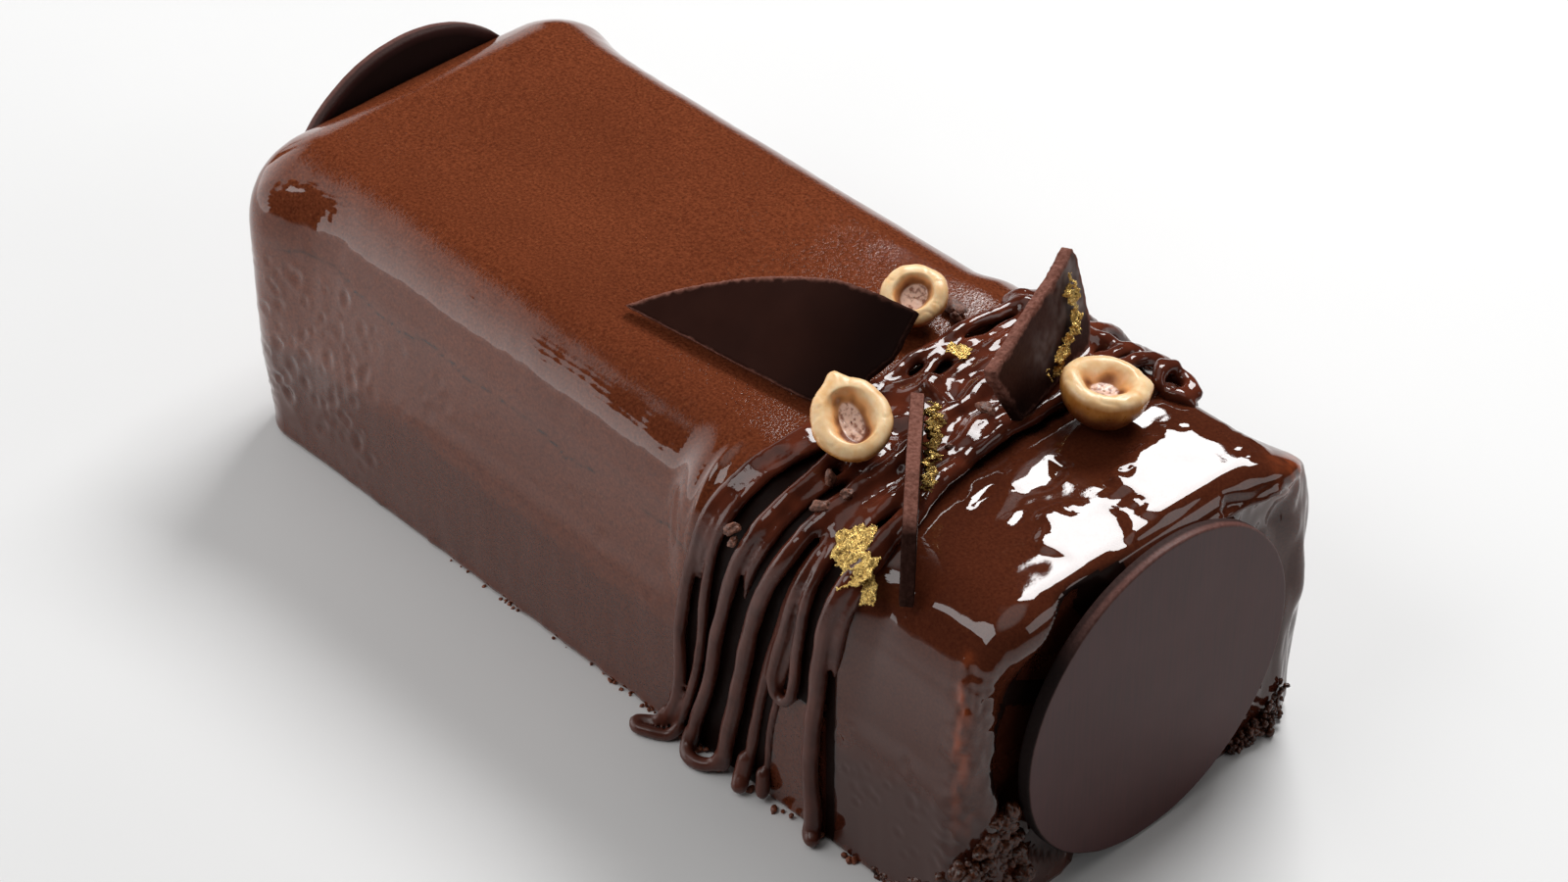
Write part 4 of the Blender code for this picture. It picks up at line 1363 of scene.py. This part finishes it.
def make_crumbs():
    """Crumbs along the near foot, and a few more along the far one."""
    rng = np.random.default_rng(77)
    places = []
    sizes = []
    for count, *spans, size in CRUMBS:
        places.append(np.column_stack([rng.uniform(*span, count) for span in spans]))
        sizes.append(rng.uniform(*size, count))
    points, faces = lumps(np.concatenate(places), np.concatenate(sizes), 402, 2, 0.35, 0.8)
    points[:, 2] = np.maximum(points[:, 2], 0.0)
    material = crumb_finish("foot_crumbs", (0.080, 0.018, 0.008), (0.300, 0.085, 0.035), 0.35)
    add_piece("foot_crumbs", points, faces.tolist(), material, "glaze", crease=50)


def make_corner_lumps():
    """Wet crumbly lumps at the near front corner, and smaller ones at the far front corner."""
    rng = np.random.default_rng(91)
    places = []
    sizes = []
    # Up the side towards the corner, and on round it over the end face.
    for _ in range(170):
        along = rng.uniform(0, 1)
        x = 78 + 22 * along
        y = -HALF_WIDTH + 0.9 - 0.8 * along + rng.normal(0, 0.35)
        places.append((x, y, rng.uniform(0.3, 2.0 + 17.0 * along**2.2)))
        sizes.append(rng.uniform(0.6, 1.0) + 0.8 * along * rng.uniform(0, 1))
    for _ in range(170):
        y = rng.uniform(-44.0, -29.0)
        ceiling = 20.0 + 7.0 * smooth(y, -42, -35) - 12.0 * smooth(y, -35, -29)
        places.append((99.6 + 2.0 * rng.uniform(0, 1), y, rng.uniform(0.3, ceiling)))
        sizes.append(rng.uniform(0.7, 1.7))
    # Along the end face's foot on the far side, higher towards the corner.
    for _ in range(150):
        side = rng.uniform(0, 1)
        y = 25 + 14 * side
        places.append((100.9 + rng.normal(0, 0.6), y, rng.uniform(0.3, 2.5 + 7.0 * side**2)))
        sizes.append(rng.uniform(0.35, 0.85))
    points, faces = lumps(np.array(places), sizes, 403, 2, 0.40, 0.7)
    points[:, 2] = np.maximum(points[:, 2], 0.0)
    material = crumb_finish("corner_lumps", (0.022, 0.007, 0.004), (0.105, 0.030, 0.013), 0.12)
    add_piece("corner_lumps", points, faces.tolist(), material, "glaze")


# ---------------------------------------------------------------- floor, lights, camera

FLOOR_HALF = 4000.0
CAMERA_AIM = (4.7, 3.4, 29.2)
CAMERA_AZIMUTH = 46.81
CAMERA_ELEVATION = 38.86
CAMERA_DISTANCE = 743.6
CAMERA_LENS = 90.0
# Soft lights: name, azimuth, elevation, distance, width and height, radiance.
PANELS = (
    ("key_softbox", 108.0, 50.6, 950.0, (490.0, 330.0), 16.2),
    ("left_fill", 253.0, 48.0, 1000.0, (600.0, 400.0), 3.6),
    ("back_card", 158.0, 12.0, 1000.0, (420.0, 420.0), 0.9),
    ("front_fill", 25.0, 25.0, 1000.0, (600.0, 400.0), 1.6),
)
# The white card on the near left: slats one above the other, dimmer upwards and cut back on the right.
# Its left end and each slat's right end are measured from its middle; the slats' radiance follows.
CARD_AZIMUTH = 214.0
CARD_DISTANCE = 760.0
CARD_LEFT = 600.0
CARD_SLAT = 80.0
CARD_LOWEST = 0.8
CARD_STEP = 6.03
CARD_SLATS = ((405.0, 2.24), (400.0, 2.10), (330.0, 1.94), (254.0, 1.74), (198.0, 1.49),
              (145.0, 1.23), (102.0, 1.01), (63.0, 0.82))


def make_floor():
    """The tabletop, a plain square under the cake."""
    corners = [(-1, -1), (1, -1), (1, 1), (-1, 1)]
    mesh = bpy.data.meshes.new("tabletop")
    mesh.from_pydata([(u * FLOOR_HALF * MM, v * FLOOR_HALF * MM, 0.0) for u, v in corners], [],
                     [(0, 1, 2, 3)])
    mesh.materials.append(floor_finish())
    floor = put("tabletop", mesh)


def direction(azimuth, elevation):
    """A unit vector; the azimuth turns from +X to +Y."""
    a, e = math.radians(azimuth), math.radians(elevation)
    return Vector((math.cos(a) * math.cos(e), math.sin(a) * math.cos(e), math.sin(e)))


def add_panel(name, azimuth, elevation, distance, size, radiance, shift=0.0):
    """A flat soft light that faces the cake, moved sideways by a shift, and hides from the camera."""
    light = bpy.data.lights.new(name, "AREA")
    light.shape = "RECTANGLE"
    light.size, light.size_y = (side * MM for side in size)
    light.energy = radiance * math.pi * light.size * light.size_y
    panel = put(name, light)
    sideways = direction(azimuth + 90.0, 0.0)
    away = direction(azimuth, elevation)
    panel.location = (Vector((0, 0, HEIGHT / 2)) + away * distance + sideways * shift) * MM
    panel.rotation_euler = (-away).to_track_quat("-Z", "Y").to_euler()
    panel.visible_camera = False


def make_lights():
    """The soft lights and the card, in a dim studio that is bright straight overhead."""
    for panel in PANELS:
        add_panel(*panel)
    for number, (right, radiance) in enumerate(CARD_SLATS):
        width = right + CARD_LEFT
        add_panel(f"card_{number}", CARD_AZIMUTH, CARD_LOWEST + CARD_STEP * number, CARD_DISTANCE,
                  (width, CARD_SLAT), radiance, (right - CARD_LEFT) / 2)
    world = bpy.data.worlds.new("studio")
    world.use_nodes = True
    tree = world.node_tree
    back = tree.nodes["Background"]
    place = tree.nodes.new("ShaderNodeTexCoord")
    split = tree.nodes.new("ShaderNodeSeparateXYZ")
    span = tree.nodes.new("ShaderNodeMapRange")
    tree.links.new(place.outputs["Generated"], split.inputs[0])
    tree.links.new(split.outputs["Z"], span.inputs["Value"])
    for socket, value in (("From Min", 0.86), ("From Max", 0.93), ("To Min", 0.02), ("To Max", 0.8)):
        span.inputs[socket].default_value = value
    tree.links.new(span.outputs["Result"], back.inputs["Strength"])
    back.inputs["Color"].default_value = (1.0, 0.985, 0.96, 1.0)
    bpy.context.scene.world = world


def make_camera():
    """The camera, which looks down on the near long side and the front end."""
    data = bpy.data.cameras.new("camera")
    data.lens = CAMERA_LENS
    data.sensor_width = 36.0
    data.clip_end = 20.0
    camera = put("camera", data)
    back = direction(CAMERA_AZIMUTH - 90.0, CAMERA_ELEVATION)
    camera.location = (Vector(CAMERA_AIM) + back * CAMERA_DISTANCE) * MM
    camera.rotation_euler = back.to_track_quat("Z", "Y").to_euler()
    bpy.context.scene.camera = camera


bpy.context.scene.view_settings.view_transform = "Standard"
make_camera()
make_lights()
make_floor()
make_log(glaze_finish(), shade_film_finish())
make_strands(ganache_finish())
disc_chocolate = chocolate_finish("disc_chocolate", (0.8, 0.8, 16.0), (0.052, 0.0165, 0.0155),
                                  (0.074, 0.0260, 0.0245), 0.20)
shard_chocolate = chocolate_finish("shard_chocolate", (9.0, 9.0, 9.0), (0.0205, 0.0056, 0.0034),
                                   (0.0280, 0.0084, 0.0052), 0.02)
make_disc("disc_front", disc_chocolate, 201)
make_disc("disc_back", disc_chocolate, 211)
# The shards' dark marks are painted shade, and the spike's grey mark is a painted sheen.
make_shard("shard_fan", shard_chocolate, 0.34, 0.10, 221, 0.30, 1.1,
           dark=lambda along, up: 0.85 * smooth(along, 0.55, 0.95),
           corner=((0.762, 0.012), (0.87, 0.03), (0.975, 0.25), (0.952, 0.40), (0.78, 0.40)))
make_shard("shard_blade", shard_chocolate, 0.30, 0.12, 231, 0.40,
           dark=lambda along, up: 0.85 * smooth(along, 0.72, 0.86))
make_shard("shard_spike", shard_chocolate, 0.30, 0.26, 241, 1.5, worn=0.12,
           dark=lambda along, up: 0.9 * smooth(along, 0.45, 0.85) * smooth(up, 0.50, 0.15),
           bloom=lambda along, up: (0.70 * smooth(along, 0.42, 0.14) * smooth(up, 0.25, 0.50)
                                    + 0.30 * bump(along, 0.50, 0.14) * bump(up, 0.40, 0.18)))
nut_material = hazelnut_finish()
for number, nut in enumerate(NUTS):
    make_nut(nut, nut_material, 251 + 11 * number)
make_gold(gold_finish())
make_bits()
make_crumbs()
make_corner_lumps()
